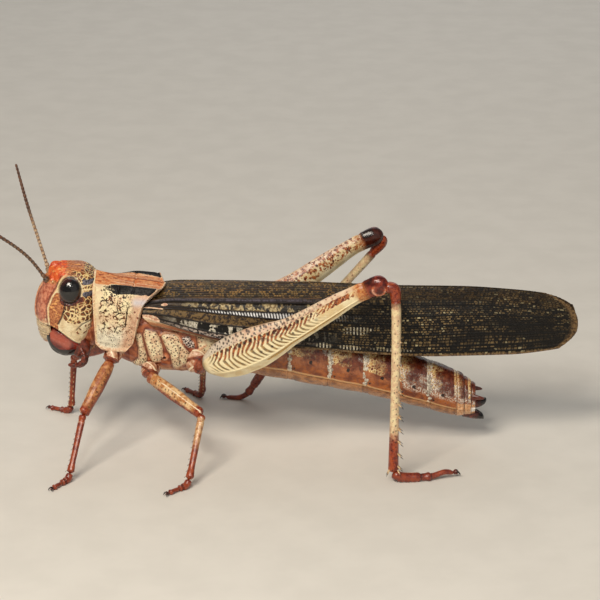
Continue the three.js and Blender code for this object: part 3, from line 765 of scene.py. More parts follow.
def make_jaw(side):
    """A mandible, and the maxilla behind it."""
    jaw = f"mandible_{SIDE_NAMES[side]}"
    p = ball_skin(120, 140, (7.42, side * 1.42, 13.2), (2.2, 1.42, 1.85), 0, 0.6)[0]
    y = np.abs(p[..., 1])
    hinge = 0.12 * hump(from_line(p, [(6.0, 14.9), (7.9, 13.9), (9.0, 12.9)]), 0.12) * rise(1.6, 2.2, y)
    step = -0.16 * hump(from_line(p, [(5.0, 14.0), (5.6, 12.6), (6.9, 11.6), (8.6, 11.2)]), 0.12)
    bulge = 0.1 * hump(from_line(p, [(6.4, 13.8), (8.0, 12.6)]), 0.6)
    p = lifted(p, hinge + step + bulge)
    front = from_line(p, [(5.0, 14.6), (5.1, 13.0), (6.3, 11.6), (8.4, 11.0)])
    marks = {
        "edge": unit(rise(1.1, 0.55, front) + 0.9 * rise(12.8, 12.1, p[..., 2])),
        # Painted highlight along the jaw's upper outer face.
        "painted_highlight": 0.75 * rise(0.8, 0.2, from_line(p, [(6.0, 14.2), (7.8, 13.2)])) * rise(1.8, 2.3, y),
    }
    piece(f"{jaw}_shell", p, JAW_FINISH, marks, jaw)
    p = ball_skin(50, 60, (9.15, side * 1.75, 12.6), (1.25, 0.75, 1.55), 0.1 * side, -0.35)[0]
    p = lifted(p, 0.06 * hump(from_line(p, [(8.7, 13.8), (9.2, 12.2), (8.9, 11.2)]), 0.1) - 0.05)
    marks = {"joint": rise(11.5, 11.2, p[..., 2])}
    piece(f"maxilla_{SIDE_NAMES[side]}", p, PALP_FINISH, marks)


def jointed(limb, girth, cuts, along=80, across=28, squeeze=0.82):
    """A row of segments: the girth is pinched at each cut."""
    def relief(u, angle):
        return sum(-(1 - squeeze) * girth(cut) * hump(u - cut, 0.018) for cut in cuts) + 0 * u

    return limb_skin(limb, along, across, girth, girth, (0.04, 0.12), relief)


palp_girth = profile((0, 0.27), (0.2, 0.3), (0.75, 0.28), (1, 0.24))
# Each palp's name, its line on the right side, and where along it the joints are.
PALPS = (
    ("maxillary", [(9.3, 2.2, 12.5), (9.75, 2.75, 11.4), (9.0, 2.7, 10.55), (7.8, 2.3, 10.4)],
     (0.14, 0.26, 0.5, 0.76)),
    ("labial", [(9.9, 1.2, 11.2), (9.6, 1.45, 10.3), (8.8, 1.3, 9.8)], (0.2, 0.55)),
)


def make_palps(side):
    for name, points, cuts in PALPS:
        limb = Limb([(x, side * y, z) for x, y, z in points])
        p, u, _ = jointed(limb, palp_girth, cuts)
        joints = np.max([hump(u - cut, 0.02) for cut in cuts], axis=0)
        node = f"{name}_palp_{SIDE_NAMES[side]}"
        piece(f"{node}_joints", p, PALP_FINISH, {"joint": joints * 0.7}, node)


p = ball_skin(60, 80, (9.2, 0, 12.15), (1.2, 1.95, 1.4), 0, -0.2)[0]
p = lifted(p, -0.14 * hump(p[..., 1], 0.12) - 0.06 * hump(p[..., 2] - 11.9, 0.1))
piece("labium_shell", p, PALP_FINISH, {"joint": 0.6 * hump(p[..., 1], 0.15)}, "labium")
for side in SIDES:
    make_jaw(side)
    make_palps(side)


# ---------- feelers ----------
def feeler_finish(pale):
    f = Finish(f"feeler {'ringed' if pale else 'brown'}")
    grain = f.noise(0.2, 3)
    dark = f.tone(grain, "3c241a", "6b452e", 0.4, 0.6)
    light = f.tone(grain, "cdb595", "9c7a5c", 0.4, 0.6)
    f.skin = f.mix(f.mark("pale"), dark, light)
    f.lay("joint", "241410" if not pale else "5a4034")
    return f.done(f.gloss(grain, 0.35, 0.5), f.bump(f.noise(0.06, 3), 0.008))


FEELERS = {
    LEFT: [(5.75, -1.0, 20.1), (3.5, -2.0, 23.6), (-0.3, -3.4, 27.0), (-4.2, -4.6, 29.4)],
    RIGHT: [(5.7, 1.0, 20.55), (4.5, 1.9, 24.2), (3.25, 3.0, 28.0), (1.95, 4.4, 32.5)],
}
FEELER_JOINTS = 26
FEELER_BASE = 0.09  # where the row of even joints starts
feeler_girth = profile((0, 0.34), (0.035, 0.35), (0.05, 0.22), (0.075, 0.26), (0.1, 0.17), (0.6, 0.17),
                       (1, 0.12))


def joint_part(u):
    """How far along its own joint a place on a feeler is, and how far from that joint's nearer end."""
    step = (u - FEELER_BASE) / (1 - FEELER_BASE) * FEELER_JOINTS
    part = step - np.floor(step)
    return part, np.minimum(part, 1 - part)


def feeler_relief(u, angle):
    part, end = joint_part(u)
    return np.where(u > FEELER_BASE, 0.035 * rise(0.1, 0.75, part) - 0.03 * hump(end, 0.1), 0.0)


def make_feeler(side):
    p, u, _ = limb_skin(Limb(FEELERS[side]), 520, 20, feeler_girth, feeler_girth, (0.01, 0.02), feeler_relief)
    part, end = joint_part(u)
    name = SIDE_NAMES[side]
    marks = {
        "joint": np.where(u > FEELER_BASE, hump(end, 0.12), hump(u - 0.042, 0.006)),
        "pale": rise(0.62, 0.4, u) * (1.0 if side == RIGHT else 0.25) * (0.55 + 0.45 * rise(0.2, 0.5, part)),
    }
    piece(f"antenna_{name}_joints", p, feeler_finish(side == RIGHT), marks, f"antenna_{name}")


for side in SIDES:
    make_feeler(side)


# ---------- pronotum ----------
# The saddle's section at each x: a nearly flat top, a shoulder, and a lobe hanging down the side.
# q runs from its ridge (0) over the shoulder (at TOP_SHARE) to its lower edge (1).
TOP_SHARE = 0.34
SADDLE_NET = (190, 200)
SADDLE_WALL = 0.24
ridge_height = profile((10.9, 21.15), (12.7, 20.65), (13.6, 20.35), (15.7, 20.05), (17.8, 19.75),
                       (19.1, 19.5))
top_half = profile((10.9, 2.0), (12.6, 1.85), (14.2, 2.35), (16, 2.85), (18, 2.95), (19.2, 2.9))
top_drop = profile((10.9, 0.75), (12.6, 0.5), (14.2, 0.2), (16, 0.04), (19.1, 0.0))
lobe_half = profile((10.9, 3.5), (12.6, 3.6), (14.6, 3.95), (17, 4.1), (19, 4.0))
lobe_low = profile((10.9, 13.7), (11.8, 12.7), (12.8, 12.45), (14.4, 12.5), (16, 12.7))
lobe_reach = profile((0, 0), (0.1, 0.45), (0.25, 0.82), (0.45, 1), (0.75, 0.98), (1, 0.8))
front_edge = profile((0, 10.95), (0.4, 10.95), (1, 11.15))
hind_edge = profile((0, 19.1), (0.15, 18.85), (0.34, 18.3), (0.42, 17.5), (0.55, 16.55), (0.75, 15.95),
                    (0.92, 15.45), (1, 14.5))


def saddle_at(u, v, inward):
    side = np.where(v < 0.5, LEFT, RIGHT)
    q = np.abs(2 * v - 1)
    x = front_edge(q) + (hind_edge(q) - front_edge(q)) * u
    shoulder = ridge_height(x) - top_drop(x)
    s = q / TOP_SHARE
    y_top = s * (top_half(x) - 0.5 * inward)
    z_top = shoulder + top_drop(x) * (1 - unit(s) ** 1.5) - inward
    s = unit((q - TOP_SHARE) / (1 - TOP_SHARE))
    y_lobe = top_half(x) + (lobe_half(x) - top_half(x)) * lobe_reach(s) - inward
    fall = 0.15 * s + 0.85 * s**1.15
    z_lobe = shoulder - inward * (1 - s) - (shoulder - lobe_low(x)) * fall
    on_top = q <= TOP_SHARE
    return stack(x, side * np.where(on_top, y_top, y_lobe), np.where(on_top, z_top, z_lobe))


# The furrows of its side, from the front one back.
SULCI = [
    [(12.5, 19.6), (12.35, 18.5), (12.2, 16.9), (12.35, 15.6), (12.8, 14.7)],
    [(13.9, 19.9), (13.6, 18.6), (13.9, 17.2), (13.3, 16.7)],
    [(15.6, 19.8), (15.0, 18.2), (14.8, 16.6), (14.6, 15.6), (13.7, 15.6), (13.35, 14.9)],
]


def saddle_relief(p, u, v):
    q = np.abs(2 * v - 1)
    x, z = p[..., 0], p[..., 2]
    keel = 0.12 * hump(q, 0.018) * rise(10.9, 11.6, x)
    shoulder = 0.12 * hump(q - 0.33, 0.03) * rise(13.6, 16, x)
    shoulder = shoulder - 0.16 * hump(q - 0.16, 0.09) * rise(13.5, 16, x)
    furrows = sum(-0.11 * hump(from_line(p, line), 0.12) for line in SULCI)
    furrows = furrows - 0.12 * hump(x - 15.7 + 0.3 * q, 0.12) * rise(0.34, 0.28, q)
    rim = 0.1 * hump(q - 0.985, 0.016) + 0.08 * hump(u - 0.985, 0.014) + 0.05 * hump(u - 0.02, 0.03)
    gutter = -0.05 * hump(q - 0.95, 0.018) - 0.05 * hump(u - 0.955, 0.014)
    knobs = 0.035 * np.sin(x * 5.1 + 3 * np.sin(z * 2.3)) * np.sin(z * 4.7 + x) * rise(0.4, 0.5, q)
    return keel + shoulder + furrows + rim + gutter + knobs * rise(0.95, 0.9, q)


def saddle_finish():
    f = Finish("pronotum shell")
    grain = f.noise(0.2, 4, 0.65)
    blotch = f.noise(1.0, 3)
    f.skin = f.tone(blotch, "eedeb2", "dcbe9a", 0.35, 0.62)
    f.lay("grey", f.tone(f.noise(0.4, 3), "eee6cc", "cec4ae"))
    f.lay("rose", f.tone(f.noise(0.6, 3), "c08f72", "d9b493", 0.3, 0.6))
    worm = f.cells(0.4, "DISTANCE_TO_EDGE", f.warped(0.35, 0.4), 1.0)
    thick = f.band(f.noise(0.45, 3, 0.6), 0.42, 0.64, (-0.05, 0.2))
    line = f.band(f.minus(worm, thick), 0.02, -0.03)
    f.lay("scrawl", f.tone(blotch, "38200f", "80502c", 0.4, 0.6), only=line)
    speck = f.cells(0.22, "F1", uneven=1.0)
    f.lay("grit", "2a2018", only=f.band(speck, 0.32, 0.2))
    orange = f.tone(f.noise(0.5, 4, 0.6), "c4672f", "dc9a66", 0.35, 0.62)
    streak = f.noise(0.22, 4, 0.7, f.stretch(f.place, (0.3, 1.0, 1.0)))
    orange = f.mix(f.band(streak, 0.54, 0.63), orange, "7c2f16")
    f.lay("disc", orange, 0.3, 0.4)
    f.lay("stroke", f.tone(grain, "efc9a0", "d99870", 0.4, 0.6), 0.4, 0.9)
    f.lay("collar", f.tone(grain, "e6cf9e", "cf9a76", 0.4, 0.65))
    dotty = f.band(f.cells(0.26, "F1", uneven=1.0), 0.42, 0.28)
    f.lay("fringe", "140b0a", only=dotty)
    f.lay("band", f.tone(grain, "050303", "140d0a", 0.45, 0.6), 0.3, 1.2, 0.45, 0.6)
    f.lay("keel", "6e1d10")
    f.lay("sulcus", "2e1a10", 0.2, 0.5)
    f.lay("rim", f.tone(grain, "f0debb", "d9a988", 0.35, 0.6))
    # Painted highlight: a pale bluish-grey sheen on the upper rear of the lobe.
    f.lay("painted_highlight", "ccccd4")
    drops = f.cells(0.75, "F1", uneven=1.0)
    f.lay("rose", "6a1a12", only=f.band(drops, 0.2, 0.13))
    pits = f.cells(0.17, "SMOOTH_F1")
    normal = f.bump(f.band(pits, 0.05, 0.5), 0.03, f.bump(f.noise(0.5, 3), 0.05))
    return f.done(f.gloss(f.noise(0.5, 3), 0.42, 0.6), normal, specular_ior_level=0.3)


def make_saddle():
    p, u, v = walled(saddle_at, *SADDLE_NET, SADDLE_WALL, saddle_relief)
    outer = p[:, :SADDLE_NET[1] + 1]
    x, z = outer[..., 0], outer[..., 2]
    q = np.abs(2 * v - 1)
    upper = profile((12.7, 0.36), (13.4, 0.315), (14.7, 0.3), (16.9, 0.255), (19.1, 0.22))
    lower = profile((12.7, 0.41), (13.4, 0.43), (14.7, 0.415), (16.9, 0.41), (19.1, 0.4))
    depth = np.minimum(q - upper(x), lower(x) - q)
    lobe = rise(0.37, 0.42, q)
    furrows = np.max([rise(0.1, 0.03, from_line(outer, line)) for line in SULCI[1:]], axis=0)
    marks = {
        "disc": rise(upper(x) + 0.01, upper(x) - 0.02, q) * rise(0.01, 0.05, u),
        "band": rise(-0.02, 0.02, depth) * (0.56 * rise(11.6, 12.3, x) + 0.44 * rise(12.9, 14.2, x)),
        "fringe": unit(1.2 * hump(q - 0.46, 0.1) * window(x, 12.0, 12.6, 14.2, 16.2)),
        "stroke": unit(hump(q - 0.23, 0.02) + 0.7 * hump(q - 0.12, 0.015)) * rise(12.5, 14.0, x),
        "collar": 0.8 * rise(0.07, 0.04, u) * lobe,
        "keel": 0.8 * rise(0.02, 0.008, q) * rise(0.1, 0.2, u),
        "scrawl": lobe * rise(16.2, 14.6, x) * rise(0.1, 0.16, u) * rise(14.2, 15.4, z),
        "grit": lobe * rise(16.2, 15.2, x + 0.2 * (15 - z)) * rise(17.0, 14.8, z) * rise(0.98, 0.93, q),
        "grey": lobe * rise(16.5, 14, z),
        "rose": lobe * rise(13.9, 15.2, x + 0.35 * (15 - z)),
        "sulcus": 0.75 * furrows * lobe * rise(18.6, 17.6, z),
        "rim": unit(rise(0.955, 0.975, q) + rise(0.975, 0.99, u) + rise(0.02, 0.008, u)),
        # Painted highlight on the upper rear of the lobe.
        "painted_highlight": 0.75 * hump(from_line(outer, [(15.9, 18.55), (17.0, 18.5)]), 0.42) * lobe,
    }
    marks = {key: with_wall(value) for key, value in marks.items()}
    piece("pronotum_saddle", p, saddle_finish(), marks, "pronotum", OPEN)


make_saddle()


# ---------- thorax ----------
chest_top = profile((10.9, 19.9), (12, 19.7), (14.8, 18.9), (18, 17.7), (22, 17.4), (26.5, 16.4))
chest_low = profile((10.9, 12.9), (12, 11.7), (14.8, 10.2), (17.5, 9.3), (22, 9.15), (26.5, 9.6))
chest_half = profile((10.9, 2.2), (12.5, 2.6), (14.8, 3.0), (17, 3.35), (22, 3.45), (26.5, 3.1))


def trunk(along, across, x_range, top, low, half, power):
    """A length of the trunk's skin, its section between top and low."""
    u, v = net(along, across)
    x = x_range[0] + (x_range[1] - x_range[0]) * u
    angle = TAU * v
    tall = (top(x) - low(x)) / 2
    z = (top(x) + low(x)) / 2 + tall * pull(np.cos(angle), power)
    return stack(x, half(x) * pull(np.sin(angle), power), z), u


# The outlines of the side plates, of a netted patch between them, and of the rims along them.
PLATES = (
    [(15.6, 14.6), (16.4, 14.6), (16.7, 13.0), (17.0, 11.7), (16.8, 10.7), (15.6, 9.9), (14.9, 10.3),
     (15.9, 11.4), (16.0, 12.9)],
    [(16.6, 14.5), (16.85, 15.1), (18.05, 14.85), (18.45, 14.2), (18.8, 13.0), (18.85, 11.8), (18.4, 11.1),
     (17.6, 10.95), (17.2, 11.9), (16.95, 13.1)],
    [(18.65, 14.3), (19.0, 14.65), (20.25, 14.6), (20.7, 14.2), (20.85, 13.6), (21.6, 12.6), (22.3, 11.75),
     (22.05, 11.25), (20.95, 10.45), (20.5, 9.7), (19.9, 9.8), (19.65, 12.0), (19.25, 12.75)],
    [(22.6, 15.4), (24.4, 15.2), (25.6, 14.0), (25.8, 11.6), (24.2, 10.6), (23.0, 11.6)],
)
NETTED_PATCH = [(20.95, 14.25), (21.85, 14.3), (22.5, 13.5), (22.5, 12.8), (21.8, 12.9), (21.1, 13.5)]
PLATE_RIMS = ([(15.7, 9.6), (16.2, 10.3), (17.4, 10.8), (18.5, 11.2)],
              [(22.25, 12.05), (22.42, 11.6), (20.94, 10.45), (20.4, 9.7), (21.2, 9.3)],
              [(18.5, 14.4), (19.0, 14.75), (20.3, 14.7), (20.75, 14.2), (20.95, 13.6)],
              [(22.6, 12.1), (22.95, 12.75), (23.8, 13.3)])
BREATHING_HOLE = (18.98, 11.58)


def rims_near(p):
    return np.min([from_line(p, line) for line in PLATE_RIMS], axis=0)


def chest_relief(p):
    y = np.abs(p[..., 1])
    side = rise(1.2, 2.2, y)
    plates = np.max([0.26 * rise(-0.03, 0.3, inset(p, outline)) for outline in PLATES], axis=0)
    net_patch = 0.15 * rise(-0.02, 0.2, inset(p, NETTED_PATCH))
    rim = 0.13 * hump(rims_near(p), 0.1)
    hole = np.hypot(p[..., 0] - BREATHING_HOLE[0], p[..., 2] - BREATHING_HOLE[1])
    ring = 0.14 * hump(hole - 0.28, 0.08) - 0.16 * hump(hole, 0.16)
    folds = 0.04 * np.sin(p[..., 2] * 7 + 2 * np.sin(p[..., 0] * 1.7))
    belly = -0.12 * hump(y - 1.3, 0.12) * rise(11.0, 10.2, p[..., 2])
    return (plates + net_patch + rim + ring + folds * rise(0.1, 0.0, plates) - 0.08) * side + belly


def chest_finish():
    f = Finish("thorax shell")
    grain = f.noise(0.22, 4, 0.65)
    f.skin = f.tone(f.noise(0.7, 4, 0.6), "7e3620", "b8683c", 0.36, 0.62)
    plate = f.tone(f.noise(0.6, 4, 0.6), "ecdcb4", "d2ae8a", 0.36, 0.62)
    f.lay("plate", plate)
    speck = f.cells(0.25, "F1", f.warped(0.5, 0.2), 1.0)
    size = f.band(f.noise(0.5, 2), 0.35, 0.62, (0.26, 0.4))
    spot = f.band(f.minus(speck, size), 0.05, -0.03)
    f.lay("plate", f.tone(grain, "1c0f0a", "5e2c14", 0.4, 0.6), only=spot)
    lace = f.tone(f.cells(0.3, "DISTANCE_TO_EDGE", f.warped(0.4, 0.3)), "2a1216", "e0cfc0", 0.12, 0.05)
    f.lay("lace", lace)
    f.lay("rim", f.tone(grain, "e6b48c", "cc8a66", 0.35, 0.6))
    f.lay("dark", "2c0f0a")
    f.lay("under", f.tone(f.noise(0.7, 3), "9c5a36", "c89064"))
    normal = f.bump(f.noise(0.14, 3), 0.03, f.bump(f.noise(0.6, 3), 0.06))
    return f.done(f.gloss(grain, 0.3, 0.48), normal, coat_weight=0.15, coat_roughness=0.25)


CHEST_FINISH = chest_finish()
CHEST_PARTS = (("prothorax", (11.2, 14.9), 60), ("mesothorax", (14.7, 20.75), 130),
               ("metathorax", (20.6, 26.4), 120))
for name, x_range, along in CHEST_PARTS:
    p, u = trunk(along, 240, x_range, chest_top, chest_low, chest_half, 0.8)
    p = lifted(p, chest_relief(p))
    z = p[..., 2]
    hole = np.hypot(p[..., 0] - BREATHING_HOLE[0], z - BREATHING_HOLE[1])
    plate_depth = np.max([inset(p, outline) for outline in PLATES], axis=0)
    marks = {
        "plate": rise(-0.02, 0.08, plate_depth),
        "lace": rise(-0.02, 0.1, inset(p, NETTED_PATCH)),
        "rim": unit(0.9 * rise(0.15, 0.07, rims_near(p)) + hump(hole - 0.28, 0.07)),
        "dark": unit(hump(plate_depth + 0.08, 0.08) * 0.7 + rise(0.2, 0.1, hole))
        * rise(0.08, 0.16, rims_near(p)),
        "under": rise(10.6, 9.9, z),
    }
    piece(f"{name}_shell", p, CHEST_FINISH, marks, name, OPEN)

p = ball_skin(60, 80, (10.75, 0, 15.4), (1.55, 2.4, 3.5), 0, 0.25)[0]
p = lifted(p, 0.07 * np.sin(p[..., 0] * 9 + p[..., 2]))
piece("neck_skin", p, CHEST_FINISH, {"under": 0.2}, "neck")


# ---------- abdomen ----------
belly_top = profile((26.4, 16), (33, 15), (37, 13.9), (41.5, 12.7), (46, 11.2), (50, 9.7), (53, 8.4),
                    (54.9, 7))
belly_low = profile((26.4, 9.2), (33, 8), (37, 7.2), (41.5, 6.35), (46, 5.2), (50, 4.1), (53, 3.4),
                    (54.9, 3.6))
belly_half = profile((26.4, 3.05), (33, 2.9), (41.5, 2.75), (48, 2.5), (53, 2.1), (54.9, 1.4))
JOINTS_X = (26.45, 28.9, 33.0, 37.6, 41.7, 45.5, 49.1, 52.3, 53.9, 54.9)
SEGMENTS = 8
END_RINGS = (52.7, 53.6, 54.45)


def belly_share(p):
    """How far down a place is between the abdomen's back (0) and its underside (1)."""
    x = p[..., 0]
    return (belly_top(x) - p[..., 2]) / (belly_top(x) - belly_low(x))


def belly_finish():
    f = Finish("abdomen shell")
    grain = f.noise(0.22, 4, 0.65)
    f.skin = f.tone(f.noise(1.3, 4, 0.6), "6c331f", "ae6a40", 0.35, 0.62)
    netted = f.cells(0.32, "DISTANCE_TO_EDGE", f.warped(0.5, 0.35), 1.0)
    lace = f.band(f.minus(netted, f.band(grain, 0.35, 0.65, (0.04, 0.3))), 0.03, -0.02)
    f.lay("gold", f.tone(grain, "f2dca6", "c89c5c", 0.4, 0.6), 0.5, 0.8, only=lace)
    frost = f.band(f.noise(0.17, 3, 0.6), 0.44, 0.55)
    f.lay("silver", f.tone(grain, "eee6d8", "b8a490", 0.4, 0.6), 0.6, 0.9, only=frost)
    f.lay("shade", f.tone(grain, "40160e", "6a2c1a"), 0.9, 0.9, 0.3, 0.7)
    f.lay("low", f.tone(f.noise(0.8, 3), "a85e2a", "70351a"))
    under = f.tone(f.noise(0.8, 3), "bc8454", "84522e")
    f.lay("under", under)
    f.lay("plate", f.tone(grain, "c98a58", "e0b488", 0.4, 0.6), 0.4, 0.5)
    f.lay("dark", "240e0a", 0.2, 0.5, 0.4, 0.6)
    beads = f.tone(grain, "ddd3c0", "8c7e70", 0.4, 0.6)
    f.lay("beads", beads, 0.3, 0.5)
    f.lay("joint", "431c12")
    f.lay("edge", "e0b47c")
    f.lay("white", "ece8e0")
    normal = f.bump(f.cells(0.14, "SMOOTH_F1"), 0.018, f.bump(f.noise(0.5, 3), 0.06))
    return f.done(f.gloss(f.noise(0.4, 3), 0.22, 0.4), normal, coat_weight=0.25, coat_roughness=0.2)


BELLY_FINISH = belly_finish()


def make_segment(i, name):
    """One ring of the abdomen, tucked into the one before it."""
    start, stop = JOINTS_X[i], JOINTS_X[i + 1]
    last = i == SEGMENTS
    x_range = (start - 0.25, stop + (0.0 if last else 0.1))
    p, u = trunk(80, 180, x_range, belly_top, belly_low, belly_half, 0.92)
    share = belly_share(p)
    pore_x = start + 0.85
    pore_z = belly_top(pore_x) * 0.33 + belly_low(pore_x) * 0.67
    along = unit((p[..., 0] - start) / (stop - start))
    swell = 0.1 * np.sin(np.pi * along) - 0.22 * rise(0.1, -0.02, u) + 0.05 * window(u, 0.86, 0.94, 0.98, 1)
    ring = -0.06 * hump(along - 0.16, 0.025)
    keel = 0.07 * hump(share, 0.03)
    edge = 0.1 * hump(share - 0.73, 0.018) - 0.1 * hump(share - 0.76, 0.02)
    pore = dots(p, [(pore_x, pore_z, 0.2)])
    beads = studs(p[..., 2] + 0.2 * start, p[..., 0] - start - 0.26, 0.46, 0.3, i) * rise(0.12, 0.2, share)
    beads = beads * rise(0.76, 0.7, share) * (1 if 0 < i < 7 else 0)
    rings = sum(-0.12 * hump(p[..., 0] - at, 0.09) for at in END_RINGS) * rise(0.9, 0.7, share)
    p = lifted(p, swell + ring + keel + edge + rings + 0.07 * beads - 0.1 * pore)
    x = p[..., 0]
    middle = start + 0.6 * (stop - start)
    spot_z = belly_top(middle) * 0.52 + belly_low(middle) * 0.48
    dash = from_line(p, [(middle - 0.2, pore_z + 0.75), (middle + 0.35, pore_z + 0.35)])
    end = rise(52.4, 52.8, x)
    marks = {
        "gold": rise(0.52, 0.36, share) * rise(0.92, 0.5, along) * (0.9 if i < 5 else 0.6),
        "silver": unit(rise(45.5, 47.0, x) * window(share, 0.14, 0.26, 0.5, 0.7)
                       + end * window(share, 0.16, 0.24, 0.6, 0.7)
                       + 0.9 * rise(0.3, 0.08, np.abs(along - 0.02)) * rise(0.42, 0.25, share) * (i < 7)
                       + 0.9 * rise(0.78, 0.95, along) * rise(0.36, 0.25, share) * (i < 6)),
        "low": rise(0.5, 0.62, share),
        "under": rise(0.74, 0.78, share),
        "plate": end * rise(0.52, 0.64, share),
        "dark": unit(0.8 * dots(p, [(middle, spot_z, 0.2), (pore_x, pore_z, 0.13)])
                     + 0.5 * rise(0.22, 0.04, dash)) * (1 - end),
        "shade": 0.58 * rise(0.62, 0.4, share) * rise(0.0, 0.5, along),
        "beads": 0.9 * beads,
        "joint": unit(rise(0.05, 0.0, u) + 0.6 * rise(0.985, 1.0, u)
                      + 0.7 * np.max([hump(x - at, 0.06) for at in END_RINGS], axis=0)),
        "edge": 0.8 * rise(0.03, 0.012, np.abs(share - 0.735)) * (1 - end),
        "white": end * rise(54.2, 54.6, x) * window(share, 0.66, 0.72, 0.8, 0.86),
    }
    piece(f"{name}_shell", p, BELLY_FINISH, marks, name, (False, last))


for i in range(SEGMENTS):
    make_segment(i, f"abdomen_segment_{i + 1}")
make_segment(SEGMENTS, "abdomen_end")


HORN_FINISH = plain_finish("valves and claws", (0.4, 3), ("3a0f0a", "7a2a18"), {"reach": "080404"},
                           (0.2, 0.34), (0.1, 0.006), (0.3, 0.8), coat_weight=0.35, coat_roughness=0.15)
valve_deep = profile((0, 0.75), (0.6, 0.55), (1, 0.22))
valve_wide = profile((0, 0.95), (0.6, 0.7), (1, 0.34))
cercus_deep = profile((0, 0.36), (0.4, 0.32), (1, 0.14))
cercus_wide = profile((0, 0.3), (1, 0.12))
VALVES = {
    "upper": [(54.0, 0, 4.95), (55.1, 0, 4.8), (55.8, 0, 4.95), (56.25, 0, 5.35)],
    "lower": [(53.6, 0, 3.8), (54.8, 0, 3.4), (55.6, 0, 3.1), (56.05, 0, 2.75)],
}
for level, points in VALVES.items():
    limb = Limb(points)
    p, u, _ = limb_skin(limb, 60, 60, valve_deep, valve_wide, (0.05, 0.2),
                        lambda u, a: -0.25 * hump(np.sin(a), 0.22) * rise(0.1, 0.3, u))
    piece(f"ovipositor_{level}_valves", p, HORN_FINISH, {"reach": u}, f"ovipositor_{level}")
for side in SIDES:
    limb = Limb([(54.2, side * 1.15, 6), (55.2, side * 1.45, 5.95), (55.9, side * 1.5, 5.85)])
    p = limb_skin(limb, 40, 30, cercus_deep, cercus_wide, (0.05, 0.2))[0]
    name = f"cercus_{SIDE_NAMES[side]}"
    piece(f"{name}_cone", p, BELLY_FINISH, {"shade": 0.9}, name)


# ---------- wing covers and wings ----------
# v runs from a cover's inner edge over the back to the fold (at BACK_SHARE) and down the flank to its hem.
BACK_SHARE = 0.32
crest_height = profile((16.6, 18.7), (19.6, 19.35), (34.5, 19.5), (46, 19.1), (53, 19), (58.5, 18.65),
                       (63, 18.1), (66.4, 17.2))
fold_height = profile((16.6, 18.2), (20.5, 18.75), (34.5, 18.6), (46, 18.1), (53, 18), (60, 17.4),
                      (66.4, 16.4))
fold_half = profile((16.6, 2.85), (22, 2.95), (34, 2.7), (46, 1.9), (54, 1.45), (66.4, 0.95))
hem_height = profile((16.6, 16.1), (21, 15.1), (25.5, 14), (31, 13.3), (36.6, 12.9), (42, 12.3), (51, 11.75),
                     (58.6, 11.75), (62.2, 12), (66.4, 12.6))
hem_half = profile((16.6, 3.95), (25, 4.25), (33, 4), (42, 3.55), (51, 2.95), (58.6, 2.4), (66.4, 1.6))
flank_bulge = profile((16.6, 0.35), (30, 0.5), (45, 0.5), (60, 0.35), (66.4, 0.2))
cover_root = profile((0, 17.4), (BACK_SHARE, 16.7), (0.7, 16.6), (1, 17.6))
OVERLAP = {LEFT: 0.55, RIGHT: -0.35}
BACK_LANES = 8
# The main veins of the flank, as shares of the way down from the fold to the hem.
VEINS = (
    profile((16.6, 0.0), (66.4, 0.0)),
    profile((16.6, 0.06), (22, 0.075), (34, 0.08), (66.4, 0.06)),
    profile((16.6, 0.18), (20, 0.21), (34, 0.25), (50, 0.24), (66.4, 0.2)),
    profile((16.6, 0.26), (24, 0.3), (34, 0.39), (50, 0.42), (66.4, 0.36)),
    profile((16.6, 0.42), (18.6, 0.48), (22, 0.55), (28, 0.575), (34, 0.6), (66.4, 0.56)),
    profile((16.6, 0.52), (18.6, 0.64), (22, 0.77), (28, 0.8), (34, 0.84), (66.4, 0.78)),
    profile((16.6, 0.62), (18.6, 0.78), (22, 0.9), (28, 0.93), (66.4, 0.9)),
    profile((16.6, 1.0), (66.4, 1.0)),
)
FAR_LANES = 22
COVER_NET = (460, 120)
COVER_WALL = 0.16
COVER_BACK_ROWS = 4


def cover_at(side):
    def place(u, v, inward):
        tip = WING_TIP_X - 3.6 * np.abs((v - 0.55) / 0.55) ** 2.6
        x = cover_root(v) + (tip - cover_root(v)) * u
        s = v / BACK_SHARE
        y_back = -OVERLAP[side] + (fold_half(x) + OVERLAP[side]) * s - 0.4 * inward * s
        z_back = crest_height(x) + (fold_height(x) - crest_height(x)) * unit(s) ** 1.6 - inward
        s = unit((v - BACK_SHARE) / (1 - BACK_SHARE))
        y_flank = fold_half(x) + (hem_half(x) - fold_half(x)) * s**0.75
        y_flank = y_flank + flank_bulge(x) * np.sin(np.pi * s**0.8)
        y_flank = y_flank - inward * (0.4 + 0.6 * np.minimum(1, 3 * s))
        z_flank = fold_height(x) + (hem_height(x) - fold_height(x)) * s - inward * (1 - s) ** 2
        on_back = v <= BACK_SHARE
        return stack(x, side * np.where(on_back, y_back, y_flank), np.where(on_back, z_back, z_flank))

    return place


def flank_share(v):
    return unit((v - BACK_SHARE) / (1 - BACK_SHARE))


def lanes(x, v):
    """A count that goes up by one from each main vein to the next, from the inner edge to the hem."""
    s = flank_share(v)
    row = np.zeros_like(s)
    for upper, lower in zip(VEINS, VEINS[1:]):
        row = row + unit((s - upper(x)) / (lower(x) - upper(x)))
    return np.where(v < BACK_SHARE, v / BACK_SHARE * BACK_LANES, BACK_LANES + row)


def far_lanes(x, v):
    """The same count for the finer veins of the outer half, which climb a little towards the tip."""
    s = flank_share(v)
    back = (v - BACK_SHARE) / BACK_SHARE * BACK_LANES
    return 20 + np.where(v < BACK_SHARE, back, FAR_LANES * s + 3.5 * rise(30, 66, x) * np.sin(np.pi * s))


def vein_lines(x, v):
    s = flank_share(v)
    tall = fold_height(x) - hem_height(x)
    away = np.min([np.abs(s - vein(x)) * tall for vein in VEINS[1:-1]], axis=0)
    return np.where(v > BACK_SHARE, rise(0.13, 0.04, away), 0.0)


